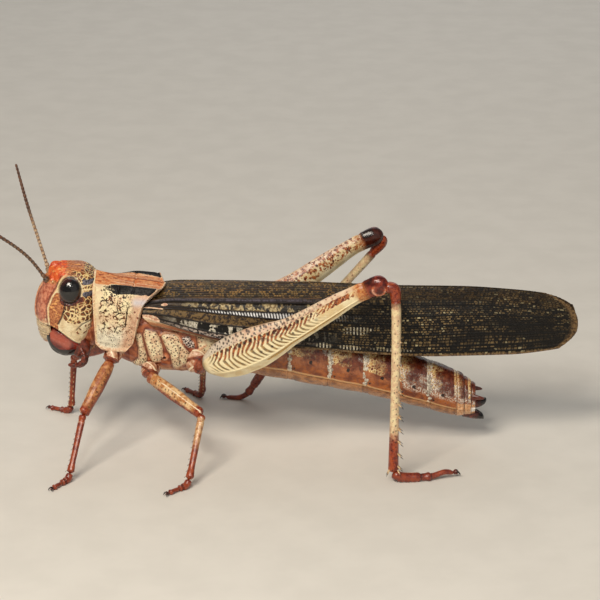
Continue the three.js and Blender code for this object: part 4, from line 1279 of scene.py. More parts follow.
def cover_relief(p, u, v):
    x = p[..., 0]
    lane = np.where(v < BACK_SHARE, lanes(x, v), far_lanes(x, v))
    fine = 0.05 * hump(lane - np.rint(lane), 0.16)
    dusk = rise(32, 44, x)
    main = 0.13 * vein_lines(x, v) * (1 - 0.7 * dusk)
    fold = 0.16 * hump(v - BACK_SHARE, 0.012) + 0.12 * hump(v - BACK_SHARE - 0.045, 0.01) * (1 - dusk)
    hem = 0.08 * hump(v - 0.99, 0.01)
    return (fine * np.where(v < BACK_SHARE, 0.8, dusk) + main + fold) * rise(0, 0.02, u) + hem


def cover_finish():
    f = Finish("wing cover")
    run, lane, thin = f.mark("run"), f.mark("lane"), f.mark("thin")
    grain = f.noise(0.26, 4, 0.6)
    cloud = f.noise(0.9, 3)

    def mesh(count, pitch, width):
        """A net's lines, and a share for each cell. Its rows are the whole numbers of count."""
        row = f.math("FLOOR", count)
        part = f.math("FRACT", count)
        edge = f.math("MINIMUM", part, f.minus(1.0, part))
        shift = f.add("ShaderNodeTexWhiteNoise", noise_dimensions="1D")
        f.feed(shift.inputs["W"], row)
        step = f.plus(f.times(run, pitch), f.times(shift.outputs[0], 9.0))
        step = f.plus(step, f.times(f.noise(0.8, 2), 2.2))
        rung = f.math("FRACT", step)
        rung = f.math("MINIMUM", rung, f.minus(1.0, rung))
        lines = f.math("MAXIMUM", f.band(rung, width, width * 0.4), f.band(edge, width, width * 0.4))
        cell = f.add("ShaderNodeTexWhiteNoise", noise_dimensions="2D")
        f.feed(cell.inputs["Vector"], f.vector(f.math("FLOOR", step), row))
        return lines, cell.outputs["Value"]

    fine_lines, luck = mesh(thin, 2.5, 0.22)
    haze = f.noise(2.6, 3, 0.6, f.stretch(f.place, (0.4, 1.0, 1.0)))
    far = f.tone(cloud, "57462b", "7c6744", 0.35, 0.62)
    far = f.mix(f.band(luck, 0.35, 0.75), far, "17120c")
    far = f.mix(f.band(haze, 0.46, 0.66), far, "17110b")
    # Painted glints: a few pale cells outside the dark haze stand in for sparkles of light on the net.
    far = f.mix(f.times(f.band(luck, 0.9, 0.92), f.band(haze, 0.62, 0.4)), far, "b3a57e")
    far = f.mix(f.band(f.plus(fine_lines, f.mark("vein")), 0.1, 0.9), far, "060504")
    far = f.mix(f.band(run, 50.0, 64.0, (0.0, 0.5)), far, "15110c")

    back_lines, back_luck = mesh(f.times(lane, 1.25), 2.9, 0.2)
    back = f.tone(cloud, "8e6c38", "5c4c2a", 0.35, 0.62)
    back = f.mix(f.band(back_luck, 0.3, 0.7), back, "2e2214")
    back = f.mix(f.times(back_lines, 0.9), back, "171009")
    stripe = f.math("ABSOLUTE", f.minus(f.math("FRACT", lane), 0.5))
    stripe = f.times(f.band(stripe, 0.42, 0.49), f.band(f.noise(2.2, 2), 0.4, 0.6))
    back = f.mix(f.times(stripe, 0.75), back, "a06c34")

    blot = f.noise(0.65, 3, 0.65, f.stretch(f.place, (0.8, 1.0, 0.4)), 0.4)
    stone = f.tone(grain, "b8a67c", "6e5834", 0.4, 0.6)
    ochre = f.mix(f.band(blot, 0.46, 0.54), "15100b", stone)
    near = f.mix(f.mark("ochre"), "33261a", ochre)
    brown = f.tone(f.noise(0.32, 4, 0.65), "6e5734", "241811", 0.42, 0.58)
    near = f.mix(f.mark("mottle"), near, brown)
    big = f.noise(0.46, 2, 0.55, f.stretch(f.place, (1.0, 1.0, 0.45)), 0.5)
    bold = f.mix(f.band(big, 0.49, 0.53), "0b0908", f.tone(grain, "d9d2c2", "8f8874", 0.38, 0.6))
    near = f.mix(f.mark("bold"), near, bold)
    small = f.tone(f.noise(0.26, 3, 0.6), "1a1210", "b0a094", 0.43, 0.54)
    near = f.mix(f.mark("small"), near, small)
    across = f.times(f.math("FRACT", lane), 0.5)
    slant = f.math("FRACT", f.minus(f.times(run, 3.0), across))
    dash = f.times(f.band(slant, 0.36, 0.44), f.band(slant, 0.98, 0.9))
    dash = f.times(dash, f.band(f.noise(1.1, 2), 0.32, 0.45))
    near = f.mix(f.mark("ladder"), near, f.mix(dash, "100d0e", "dcdcdc"))
    near = f.mix(f.mark("plum"), near, f.tone(grain, "1d1a20", "4e4754", 0.4, 0.6))
    near = f.mix(f.mark("vein"), near, "120b0a")
    near = f.mix(f.ragged("blush", 0.4, 0.5), near, f.tone(grain, "b98468", "e0c4a6", 0.4, 0.6))

    f.skin = f.mix(f.mark("dusk"), near, far)
    comb = f.math("FRACT", f.times(run, 2.6))
    tick = f.times(f.band(comb, 0.4, 0.5), f.band(comb, 0.95, 0.85))
    f.lay("ticks", f.tone(grain, "d2cab6", "8f8468", 0.4, 0.6), only=tick)
    f.lay("back", back)
    drift = f.times(f.minus(grain, 0.5), 0.5)
    costal = f.ramp(f.plus(f.mark("costal_run"), drift),
                    (0.0, "eadac0"), (0.26, "d8bc98"), (0.42, "a8744e"), (0.7, "864c32"), (1.0, "4a2c1c"))
    f.lay("costal", costal)
    f.lay("hem", f.tone(grain, "3a281a", "7e6340", 0.35, 0.6))
    lines = f.times(fine_lines, f.mark("dusk"))
    normal = f.bump(lines, 0.05, f.bump(grain, 0.025))
    return f.done(f.gloss(f.noise(0.5, 3), 0.4, 0.58), normal, specular_ior_level=0.3)


COVER_FINISH = cover_finish()


def make_cover(side):
    p, u, v = walled(cover_at(side), *COVER_NET, COVER_WALL, cover_relief, COVER_BACK_ROWS)
    x = p[:, :COVER_NET[1] + 1, 0]
    lane = lanes(x, v)
    s = flank_share(v)
    row = lane - BACK_LANES
    dusk = rise(32, 44, x + 5 * s)

    def in_row(number):
        return rise(number - 0.06, number + 0.02, row) * rise(number + 1.06, number + 0.98, row)

    def patch(at_x, at_s, wide, tall):
        return rise(1.15, 0.85, np.hypot((x - at_x) / wide, (s - at_s) / tall))

    marks = {
        "run": x,
        "lane": lane,
        "thin": far_lanes(x, v),
        "dusk": dusk,
        "back": rise(BACK_SHARE + 0.01, BACK_SHARE - 0.01, v) * (1 - 0.8 * rise(34, 48, x)),
        "plum": hump(s - 0.03, 0.022) * window(x, 17.4, 18.4, 44, 60),
        "ochre": in_row(1) * rise(19, 25, x),
        "ladder": in_row(2) * rise(21.5, 25.5, x),
        "mottle": in_row(3),
        "bold": in_row(4) * rise(17.8, 24.0, x),
        "small": in_row(5) * rise(17.8, 22.0, x),
        "vein": vein_lines(x, v),
        "costal": rise(5.95, 6.05, row) * rise(35, 26, x + 2 * s),
        "costal_run": unit((x - 15.8) / 11 + 0.5 * (row - 6)),
        "blush": unit(patch(17.1, 0.72, 1.5, 0.22) + 0.8 * patch(19.1, 0.15, 0.4, 0.05)
                      + 0.8 * rise(0.035, 0.015, np.abs(s - 0.19 - 0.05 * np.clip(x - 17, 0, 3)))
                      * rise(19.6, 18.6, x)),
        "ticks": unit(patch(41.2, 0.52, 1.6, 0.04) + patch(40.8, 0.6, 1.3, 0.03) + patch(37.2, 0.9, 0.9, 0.06)
                      + 0.9 * patch(40.2, 0.9, 1.2, 0.05) + 0.5 * patch(45, 0.9, 2.5, 0.03)),
        "hem": unit(rise(0.965, 0.985, v) + rise(0.98, 0.99, u)),
    }
    marks = {key: with_wall(value, COVER_BACK_ROWS) for key, value in marks.items()}
    name = f"tegmen_{SIDE_NAMES[side]}"
    piece(f"{name}_sheet", p, COVER_FINISH, marks, name, OPEN)


for side in SIDES:
    make_cover(side)


def fan_finish():
    f = Finish("hind wing")
    grain = f.noise(0.4, 3)
    veins = f.cells(0.7, "DISTANCE_TO_EDGE", f.stretch(f.place, (0.35, 1.0, 1.0)))
    f.skin = f.tone(grain, "8f8468", "b3a888")
    f.skin = f.mix(f.band(veins, 0.08, 0.02), f.skin, "4a3a26")
    return f.done(f.gloss(grain, 0.25, 0.4), f.bump(f.band(veins, 0, 0.1), 0.02), coat_weight=0.2)


FAN_FINISH = fan_finish()
HINDWING_X = (27.5, 62.0)
PLEATS = 7
FAN_NET = (90, 70)


def fan_at(side):
    def place(u, v, inward):
        x = HINDWING_X[0] + (HINDWING_X[1] - HINDWING_X[0]) * u
        y = 0.25 + 0.8 * (fold_half(x) - 0.55) * v
        roof = fold_height(x) - 1.0
        floor = np.minimum(np.maximum(belly_top(x) + 0.35, roof - 2.6 * (1 - 0.65 * u)), roof - 0.75)
        pleat = 0.3 * np.abs(((v * PLEATS) % 1) * 2 - 1) + 0.25 * v
        return stack(x, side * y, roof + (floor - roof) * inward - pleat)

    return place


def fan_relief(p, u, v):
    return 0.03 * hump((v * PLEATS) % 1 - 0.5, 0.1)


for side in SIDES:
    p = walled(fan_at(side), *FAN_NET, 1.0, fan_relief, FAN_NET[1])[0]
    name = f"hindwing_{SIDE_NAMES[side]}"
    piece(f"{name}_fan", p, FAN_FINISH, {}, name, OPEN)


# ---------- legs ----------
def leg_finish(name, pale, dark, knee, tip, spot, spot_size=0.42, coat=0.2):
    """A leg's finish: mottled from pale to dark and spotted, with its own knee and a tinted far end."""
    f = Finish(name)
    grain = f.noise(0.25, 4, 0.65)
    f.skin = f.tone(f.noise(0.6, 4, 0.65), pale, dark, 0.38, 0.62)
    speck = f.cells(spot_size, "F1", f.warped(0.4, 0.2), 1.0)
    size = f.band(f.noise(0.7, 2), 0.35, 0.65, (0.05, 0.24))
    dot = f.band(f.minus(speck, size), 0.05, -0.03)
    f.lay("spots", spot, only=dot)
    deep = f.tone(f.noise(0.7, 4, 0.6), tip, knee)
    # The far-end tint is also laid as painted shade in the hips' fold valleys and under the feet.
    f.lay("tip", deep, 0.35, 0.7, 0.3, 0.7)
    f.lay("knee", f.tone(grain, knee, tip))
    # Pale marks, and a painted highlight on the hips' fold ridges and along the tops of the feet.
    f.lay("light", "ecd9b8", 0.2, 0.8)
    # Dark marks, and painted shade in the hips' fold valleys.
    f.lay("dark", "241009")
    normal = f.bump(f.noise(0.13, 3), 0.02, f.bump(f.noise(0.5, 3), 0.04))
    return f.done(f.gloss(grain, 0.24, 0.42), normal, coat_weight=coat, coat_roughness=0.18)


LEG_FINISH = leg_finish("leg shell", "e2bf8e", "b3743f", "70200f", "a2481e", "34180e", 0.34)
FORE_FINISH = leg_finish("fore thigh", "cf9560", "96502c", "70200f", "a2481e", "34180e", 0.34)
COXA_FINISH = leg_finish("coxa shell", "d9b498", "a8704e", "7c3018", "a4502c", "3a1c12", 0.36)
FOOT_FINISH = leg_finish("foot", "96401f", "6e2212", "4e120a", "7a2814", "3a120c", 0.42, 0.4)
SHANK_FINISH = leg_finish("hind shin", "e8d4a6", "d2ae88", "681a0c", "a2461c", "9c5a44", 0.3, 0.35)
SPINE_FINISH = plain_finish("spines", (0.15, 3), ("e2cba0", "c59a6c"), {"reach": "0d0706"}, (0.25, 0.38),
                            (None, 0.006), (0.45, 0.72), coat_weight=0.3)

# Each walking leg: its name and side, how slim it is, how stout its thigh is for that, and the places of its
# hip, the root of its thigh, its knee, its ankle and its toe.
WALKING_LEGS = (
    ("fore_left", LEFT, 0.92, 1.55, (13.2, -2.1, 12.3), (12.7, -3.3, 11), (9.9, -7.9, 6.55),
     (8.6, -11.6, 0.95), (6.9, -14.1, 0.3)),
    ("fore_right", RIGHT, 0.92, 1.55, (13.2, 2.1, 12.3), (12.6, 3.3, 11), (7.5, 7.5, 7.8), (6.9, 7.9, 0.95),
     (4.2, 9.2, 0.3)),
    ("mid_left", LEFT, 1.0, 1.32, (17.3, -2.4, 10.3), (17.3, -3.7, 9.5), (23.4, -8.5, 6.8),
     (22.1, -13.3, 0.95), (19.9, -15.4, 0.3)),
    ("mid_right", RIGHT, 1.0, 1.32, (17.3, 2.4, 10.3), (17.4, 3.7, 9.5), (22.9, 8.6, 7), (22.5, 12.7, 0.95),
     (20.4, 14.9, 0.3)),
)
# The thigh's finish, and how red the thigh and the shin are.
LEG_LOOKS = {"fore": (FORE_FINISH, 0.38, 1.0), "mid": (LEG_FINISH, 0.15, 0.42)}
FOOT_HALF = 0.42
LEG_MARKS = ("spots", "tip", "knee", "light", "dark")
# What a part's piece and the node it stands for are called, where that isn't the usual.
LEG_NAMES = {"trochanter": ("{}_{}", None), "tarsus": ("{}_{}_joints", "{}_{}")}
coxa_deep = profile((0, 1), (0.6, 0.95), (1, 0.62))
coxa_wide = profile((0, 1.15), (0.6, 0.95), (1, 0.62))
thigh_girth = profile((0, 0.46), (0.08, 0.54), (0.45, 0.6), (0.85, 0.49), (0.94, 0.52), (1, 0.43))
shin_girth = profile((0, 0.45), (0.1, 0.4), (0.8, 0.33), (0.95, 0.42), (1, 0.36))
foot_girth = profile((0, 0.33), (0.12, 0.42), (0.36, 0.42), (0.42, 0.28), (0.5, 0.4), (0.56, 0.24),
                     (0.85, 0.27), (0.92, 0.34), (1, 0.2))


def leg_shell(leg, part, places, finish, marks):
    """The shell of a leg's part. Marks it isn't given are blank."""
    marks = {**dict.fromkeys(LEG_MARKS, 0.0), **marks}
    name, node = LEG_NAMES.get(part, ("{}_{}_shell", "{}_{}"))
    piece(name.format(leg, part), places, finish, marks, node and node.format(leg, part))


def claws(name, path, size, spread=0.42):
    """Two hooked claws and the pad between them, at the end of a foot."""
    end = Limb(path)
    root, run, out = (end.read(table, np.array(0.985)) for table in (end.line, end.run, end.out))
    for sign in SIDES:
        ahead = run * np.cos(spread) + out * sign * np.sin(spread)
        ahead[2] *= 0.3
        points = [root + ahead * size * reach + np.array([0, 0, height * size])
                  for reach, height in ((0, 0), (0.45, 0.28), (0.85, 0.12), (1.05, -0.22))]
        points = [np.maximum(point, (-99, -99, 0.06)) for point in points]
        hook = profile((0, 0.17 * size), (0.6, 0.12 * size), (1, 0.03 * size))
        p, u, _ = limb_skin(Limb(points), 24, 14, hook, hook, (0.1, 0.1))
        piece(f"{name}_claw_{SIDE_NAMES[sign]}", p, HORN_FINISH, {"reach": 0.25 + 0.75 * u})
    centre = root + run * size * 0.42
    seat = (centre[0], centre[1], max(centre[2], 0.2))
    p = ball_skin(24, 24, seat, (0.3 * size, 0.24 * size, 0.16 * size))[0]
    piece(f"{name}_pad", p, FOOT_FINISH, {"tip": 1.0})


def scaled(girth, factor):
    return lambda u: factor * girth(u)


def folds(u, angle, lean):
    """The folds round a hip, from -1 in their valleys to 1 on their ridges."""
    return np.sin(3 * angle + lean * u)


def coxa_relief(u, angle):
    ring = 0.1 * hump(u - 0.72, 0.05)
    groove = 0.1 * hump(np.cos(angle - 2.2), 0.25) * (1 - u)
    return ring + 0.08 * folds(u, angle, 5) * rise(0.75, 0.5, u) - groove


def thigh_relief(u, angle):
    keels = hump(np.sin(angle - 0.7), 0.12) + hump(np.sin(angle + 0.7), 0.12)
    return 0.05 * keels * window(u, 0.06, 0.12, 0.86, 0.92)


def shin_relief(u, angle):
    return -0.05 * hump(u - 0.1, 0.02) + 0.03 * hump(np.sin(angle), 0.2)


def make_walking_leg(name, side, slim, stout, hip, socket, knee, ankle, toe):
    hip_joint = Limb([hip, between(hip, socket, 0.6), socket])
    p, u, angle = limb_skin(hip_joint, 70, 70, coxa_deep, coxa_wide, (0.1, 0.22), coxa_relief)
    fold = folds(u, angle, 5)
    # In the fold valleys the deeper red and the dark are painted shade; the pale on the fold ridges is a
    # painted highlight.
    leg_shell(name, "coxa", p, COXA_FINISH, {
        "spots": 0.8, "tip": unit(rise(0.62, 0.8, u) + 0.7 * rise(-0.5, -0.9, fold)),
        "dark": 0.6 * hump(u - 0.84, 0.03) + 0.5 * rise(-0.8, -1.0, fold),
        "light": unit(0.5 * hump(u - 0.7, 0.04) + 0.7 * rise(0.86, 1.0, fold) * rise(0.8, 0.7, u)),
    })
    collar = Limb([between(socket, knee, -0.02), between(socket, knee, 0.09)])
    p = limb_skin(collar, 30, 40, lambda u: slim * 0.72, lambda u: slim * 0.66, (0.4, 0.4))[0]
    leg_shell(name, "trochanter", p, LEG_FINISH, {"knee": 0.8})
    thigh = Limb([socket, between(socket, knee, 0.5), knee])
    girths = scaled(thigh_girth, slim * stout), scaled(thigh_girth, slim * 0.8 * stout)
    p, u, angle = limb_skin(thigh, 200, 60, *girths, (0.03, 0.04), thigh_relief)
    above = rise(0, 0.5, np.cos(angle))
    finish, thigh_red, shin_red = LEG_LOOKS[name.split("_")[0]]
    leg_shell(name, "femur", p, finish, {
        "spots": rise(0.04, 0.1, u),
        "tip": 0.6 * rise(0.4, -0.6, np.cos(angle)) * rise(0.1, 0.3, u) + thigh_red,
        "knee": rise(0.86, 0.92, u),
        "light": (0.6 * hump(np.sin(angle - 0.7), 0.2) * rise(0.15, 0.3, u) + 0.35 * hump(u - 0.975, 0.012))
        * above,
        "dark": 0.85 * np.max([studs(u * thigh.length + shift, np.sin((angle - at) / 2) * slim, 0.5, 0.09)
                               for at, shift in ((-1.2, 0.0), (1.2, 0.1), (-2.1, 0.25), (2.1, 0.3))], axis=0)
        * window(u, 0.06, 0.12, 0.86, 0.9),
    })
    shin = Limb([knee, between(knee, ankle, 0.5), ankle], (0.3, side, 0))
    girths = scaled(shin_girth, slim * 1.18), scaled(shin_girth, slim * 1.1)
    p, u, angle = limb_skin(shin, 160, 48, *girths, (0.05, 0.05), shin_relief)
    leg_shell(name, "tibia", p, LEG_FINISH, {
        "spots": 0.8 * rise(0.1, 0.2, u), "knee": rise(0.1, 0.03, u),
        "tip": shin_red + (1 - shin_red) * rise(0.3, 0.9, u),
        "light": 0.5 * hump(u - 0.14, 0.02),
    })
    thorns = []
    for t in np.linspace(0.3, 0.93, 8):
        for turn in (-0.55, 0.55):
            girth = slim * float(shin_girth(t)) * 0.9
            up = -np.cos(turn)
            root = shin.at(np.array(t), up * girth, np.sin(turn) * girth)
            way = shin.read(shin.up, t) * up + shin.read(shin.out, t) * np.sin(turn)
            thorns.append((root, way + shin.read(shin.run, t) * 0.9, 0.42 + 0.1 * t, 0.075))
    spikes(f"{name}_tibia_spines", thorns, SPINE_FINISH)

    def on_floor(t, height):
        return (*between(ankle, toe, t)[:2], height)

    rest = 0.7 * FOOT_HALF
    path = [ankle, on_floor(0.14, rest + 0.12), on_floor(0.45, rest), on_floor(0.75, rest), on_floor(1, 0.24)]
    make_foot(name, path, foot_girth, (0.4, 0.56), 0.62 * slim + 0.04)


def make_foot(name, path, girth, cuts, claw):
    """A foot's joints, pressed flat on the floor, and its claws."""
    foot = Limb(path)

    def relief(u, angle):
        joints = sum(-0.07 * hump(u - cut, 0.012) for cut in cuts)
        pads = 0.05 * hump(np.sin(u * 32), 0.35) * rise(0.2, -0.6, np.cos(angle))
        return joints - pads * rise(cuts[0], cuts[0] - 0.04, u)

    p, u, angle = limb_skin(foot, 150, 40, girth, girth, (0.06, 0.08), relief)
    p[..., 2] = np.maximum(p[..., 2], 0.0)
    # The deeper red on the underside of the foot is painted shade, and the pale line along its top is a
    # painted highlight.
    sole_shade = rise(-0.2, -0.8, np.cos(angle))
    leg_shell(name, "tarsus", p, FOOT_FINISH, {
        "tip": 0.6 * sole_shade, "dark": np.max([hump(u - cut, 0.012) for cut in cuts], axis=0) * 0.8,
        "spots": 0.5, "light": 0.25 * hump(np.cos(angle) - 1, 0.15),
    })
    claws(name, path, claw)


for leg in WALKING_LEGS:
    make_walking_leg(*leg)


# The hind legs: the thigh is deep and flattened, ribbed on its outer face, and swells again at the knee. Each
# has its hip, then the lines of its thigh, its shin and its foot.
HIND_LEGS = {
    LEFT: (
        (22.6, -3.0, 11.3),
        [(23.4, -4.45, 11.1), (27.6, -4.95, 12.75), (33.4, -5.65, 15.8), (41.1, -6.65, 20.75),
         (44.3, -7.05, 22.2)],
        [(43.9, -7.05, 21.6), (44.95, -7.1, 21.4), (45.2, -7.5, 19.8), (45.0, -11.8, 1.15)],
        [(45.7, -11.75, 0.6), (48.3, -11.5, 0.44), (49.4, -11.3, 0.46), (50.9, -10.9, 0.8),
         (51.9, -10.6, 0.55)],
    ),
    RIGHT: (
        (22.6, 3.0, 11.6),
        [(23.5, 4.5, 11.6), (27.6, 5.4, 13.25), (33.4, 6.9, 16.5), (41.2, 8.8, 21.3), (44.3, 9.5, 22.5)],
        [(43.9, 9.5, 22.0), (44.2, 9.6, 21.4), (43.2, 9.7, 20.0), (30.6, 11.4, 4.9)],
        [(29.9, 11.6, 3.9), (28.6, 12.0, 1.7), (27.9, 12.2, 0.75), (27.0, 12.4, 0.27), (25.4, 12.7, 0.2)],
    ),
}
hind_deep = profile((0, 0.68), (0.04, 1.42), (0.1, 2.05), (0.19, 2.37), (0.26, 2.36), (0.38, 1.95),
                    (0.47, 1.5), (0.7, 1.17), (0.85, 0.91), (0.95, 1.17), (1, 0.8))
hind_wide = profile((0, 0.55), (0.08, 0.95), (0.25, 1.15), (0.5, 0.9), (0.75, 0.66), (0.88, 0.62),
                    (0.95, 0.85), (1, 0.6))
hind_coxa_deep = profile((0, 1.5), (0.5, 1.3), (1, 0.8))
hind_coxa_wide = profile((0, 1.5), (0.5, 1.2), (1, 0.6))
shank_girth = profile((0, 0.6), (0.05, 0.62), (0.12, 0.52), (0.6, 0.46), (0.9, 0.52), (1, 0.56))
hind_foot_girth = profile((0, 0.58), (0.1, 0.58), (0.4, 0.55), (0.5, 0.42), (0.58, 0.52), (0.66, 0.34),
                          (0.9, 0.3), (1, 0.24))
# The near and the far thigh differ in how much brown, how many spots and how much amber they carry.
INNER_BROWN = {LEFT: 0.52, RIGHT: 0.48}
INNER_SPOTS = {LEFT: 0.6, RIGHT: 1.0}
AMBER = {LEFT: 0.95, RIGHT: 0.55}
# The rows of specks on a hind shin: where round it, how far each row is shifted, and the gap between specks.
SHANK_SPECKS = ((-1.25, 0.0, 0.62), (1.25, 0.3, 0.62), (-1.9, 0.2, 1.1), (1.9, 0.5, 1.1))
# The ribs of the outer face: how many there are, and how far up the thigh (-1 to 1) they meet, start and end.
RIBS = 39
MIDDLE_LINE = 0.08
RIB_TOP = 0.6
RIB_LOW = -0.52


def rib_wave(u, share):
    """The fishbone ribs of the outer face: 1 along each rib, slanting out and back from the middle line."""
    off = share - MIDDLE_LINE
    slant = np.where(off > 0, 3.0 * off, 1.1 * np.abs(off) + 1.8 * off**2)
    wave = u * RIBS - slant + 0.16 * np.sin(31 * u + 5 * share) + 0.1 * np.sin(83 * u)
    part = np.abs(wave - np.rint(wave))
    return rise(0.34, 0.2, part)


def rib_field(u, share):
    """1 where the outer face is ribbed, fading at its edges."""
    field = window(u, 0.03, 0.07, 0.5, 0.7) * rise(RIB_LOW - 0.06, RIB_LOW + 0.02, share)
    return field * rise(RIB_TOP + 0.06, RIB_TOP - 0.02, share)


def thigh_finish():
    f = Finish("hind thigh")
    grain = f.noise(0.22, 4, 0.65)
    f.skin = f.tone(f.noise(1.2, 3), "efe0b8", "dcc290")
    # Painted shade: dark olive-brown in the gaps between the ribs, where shadow falls.
    f.lay("rib_gap_shade", f.tone(f.noise(0.5, 3), "5e4620", "9c7438", 0.4, 0.6))
    rose = f.tone(f.noise(0.6, 3), "c4967c", "dfc8ac")
    f.lay("rose", rose)
    f.lay("pearl", f.tone(grain, "b5a898", "d4c6b2", 0.4, 0.6))
    ember = f.tone(f.noise(0.35, 4, 0.65), "5e1e0e", "b0622c", 0.4, 0.58)
    f.lay("ember", ember, 0.36, 1.5, 0.42, 0.56)
    speck = f.cells(0.5, "F1", f.warped(0.5, 0.25), 1.0)
    size = f.band(f.noise(0.8, 2), 0.35, 0.65, (0.1, 0.34))
    spot = f.band(f.minus(speck, size), 0.06, -0.04)
    f.lay("spots", f.tone(grain, "3a160c", "7a3a1c", 0.4, 0.6), only=spot)
    f.lay("stripe", f.tone(grain, "a87a34", "c9a058", 0.35, 0.6), 0.3, 0.5)
    f.lay("crest", "f6e8bc")
    f.lay("dots", "240c08")
    f.lay("amber", f.tone(grain, "a8541f", "cc8a48", 0.4, 0.6), 0.4, 1.0, 0.2, 0.8)
    f.lay("knee", f.tone(f.noise(0.5, 3), "4a100a", "86301a"))
    f.lay("moon", f.tone(grain, "c8602c", "e4ac90", 0.4, 0.6))
    f.lay("dark", "1f0d08")
    normal = f.bump(f.noise(0.14, 3), 0.02, f.bump(f.noise(0.5, 3), 0.03))
    rough = f.mix(f.mark("knee"), f.gloss(grain, 0.34, 0.5), f.gloss(grain, 0.14, 0.26))
    return f.done(rough, normal, coat_weight=0.15, coat_roughness=0.2)


THIGH_FINISH = thigh_finish()


def hind_coxa_relief(u, angle):
    ring = 0.1 * hump(u - 0.7, 0.06)
    groove = 0.12 * hump(np.cos(angle - 2.4), 0.3) * (1 - u)
    return ring + 0.1 * folds(u, angle, 4) * rise(0.7, 0.4, u) - groove


def shank_relief(u, angle):
    return -0.06 * hump(u - 0.115, 0.008) + 0.04 * hump(np.sin(angle), 0.15)


def make_hind_leg(side):
    name = f"hind_{SIDE_NAMES[side]}"
    hip, thigh, shin, foot = HIND_LEGS[side]
    hip_joint = Limb([hip, between(hip, thigh[0], 0.6), thigh[0]])
    p, u, angle = limb_skin(hip_joint, 70, 80, hind_coxa_deep, hind_coxa_wide, (0.1, 0.25), hind_coxa_relief)
    fold = folds(u, angle, 4)
    # In the fold valleys the deeper red and the dark are painted shade; the pale on the fold ridges is a
    # painted highlight.
    leg_shell(name, "coxa", p, COXA_FINISH, {
        "spots": 0.8, "tip": unit(0.7 * rise(0.6, 0.8, u) + 0.6 * rise(-0.4, -0.9, fold)),
        "dark": 0.5 * hump(u - 0.84, 0.03) + 0.5 * rise(-0.8, -1.0, fold),
        "light": 0.8 * rise(0.84, 1.0, fold) * rise(0.8, 0.7, u),
    })

    limb = Limb(thigh)

    def faces(angle):
        """How far up a place is on the thigh (-1 to 1), and how far out on its outer face."""
        return np.cos(angle), np.sin(angle) * -side

    def relief(u, angle):
        share, out = faces(angle)
        outer = rise(0.2, 0.5, out)
        keels = 0.14 * (hump(share - 1, 0.05) + hump(share + 1, 0.06)) * window(u, 0.03, 0.1, 0.86, 0.93)
        rails = 0.1 * (hump(share - RIB_TOP - 0.06, 0.05) + hump(share - RIB_LOW + 0.08, 0.05))
        rails = rails * window(u, 0.05, 0.12, 0.8, 0.88)
        ribs = 0.12 * (rib_wave(u, share) - 0.6) * rib_field(u, share) * outer
        groove = -0.1 * hump(u - 0.885, 0.01) * rise(-0.4, 0.2, share)
        lobe = 0.1 * moon_ring(u, share) * outer
        return keels + rails * outer + ribs + groove + lobe

    def moon_ring(u, share):
        """The crescent on the side of the knee."""
        reach = np.hypot((u - 0.953) / 0.03, (share + 0.3) / 0.62)
        return hump(reach - 1, 0.2) * rise(0.2, -0.4, share + 14 * (u - 0.953))

    p, u, angle = limb_skin(limb, 460, 200, hind_deep, hind_wide, (0.02, 0.025), relief)
    share, out = faces(angle)
    outer = rise(0.1, 0.4, out)
    inner = rise(0.1, -0.3, out)
    field = rib_field(u, share) * outer
    wave = rib_wave(u, share)
    knee = rise(0.885, 0.905, u)
    run = u * limb.length
    depth = hind_deep(u)
    upper = rise(RIB_TOP + 0.02, RIB_TOP + 0.1, share)
    short_ribs = rise(MIDDLE_LINE - 0.02, MIDDLE_LINE + 0.06, share) * rise(RIB_TOP + 0.14, RIB_TOP, share)
    dots_up = np.max([studs(run + shift, (share - at) * depth, 0.7, 0.115, at)
                      for at, shift in ((0.7, 0.0), (0.82, 0.3), (0.91, 0.1), (0.98, 0.4))], axis=0)
    dots_low = studs(run, (share - RIB_TOP + 0.03) * depth, 0.74, 0.2, 1.0) * rise(0.84, 0.7, u)
    lower_dots = studs(run + 0.2, (share + 0.15) * depth, 1.48, 0.18, 2.0) * window(u, 0.2, 0.35, 0.6, 0.7)
    dotted = unit(dots_up * upper + (dots_low + lower_dots) * outer) * rise(0.0, 0.2, out)
    brown = 0.36 + 0.5 * (1 - wave) + 0.1 * rise(0.25, 0.5, u)
    brown = brown * (1 - 0.48 * rise(0.45, 0.64, u)) * (0.8 + 0.2 * rise(0.12, 0.3, u))
    marks = {
        # Painted shade in the gaps between the ribs.
        "rib_gap_shade": field * (1 - wave) * 0.85,
        "rose": upper * window(u, 0.02, 0.12, 0.8, 0.88) * 0.85,
        "pearl": upper * rise(0.3, 0.12, u) * 0.8,
        "ember": unit(short_ribs * outer * brown * window(u, 0.04, 0.1, 0.78, 0.86)
                      + INNER_BROWN[side] * inner * rise(-0.7, -0.3, share)
                      + 0.3 * outer * rise(0.6, 0.75, u) * rise(-0.3, 0.2, share)),
        "spots": (1 - knee) * unit(upper * rise(0.35, 0.6, u) * 0.7
                                   + short_ribs * outer * window(u, 0.05, 0.14, 0.72, 0.86)
                                   + 0.8 * rise(0.62, 0.75, u) * rise(-0.2, 0.1, share)
                                   + inner * rise(-0.5, 0.2, share) * INNER_SPOTS[side]),
        "dots": 0.9 * dotted * window(u, 0.04, 0.08, 0.5, 0.72),
        "stripe": unit(hump(share + 0.74, 0.1) * window(u, 0.2, 0.4, 0.7, 0.84)) * outer * 0.9,
        "crest": unit(field * wave * 0.75 * rise(RIB_TOP, MIDDLE_LINE, share)
                      + hump(share - RIB_LOW + 0.08, 0.06) * outer * 0.8 + 0.7 * rise(-0.9, -0.97, share))
        * rise(0.02, 0.08, u) * (1 - knee),
        "amber": rise(0.78, 0.9, u) * AMBER[side],
        "knee": rise(0.865, 0.91, u),
        "moon": knee * moon_ring(u, share) * outer,
        "dark": unit(knee * (0.8 * inner + 0.7 * rise(0.3, 0.7, share) * rise(0.96, 0.93, u))
                     + 0.75 * rise(0.035, 0.0, u)),
    }
    leg_shell(name, "femur", p, THIGH_FINISH, marks)

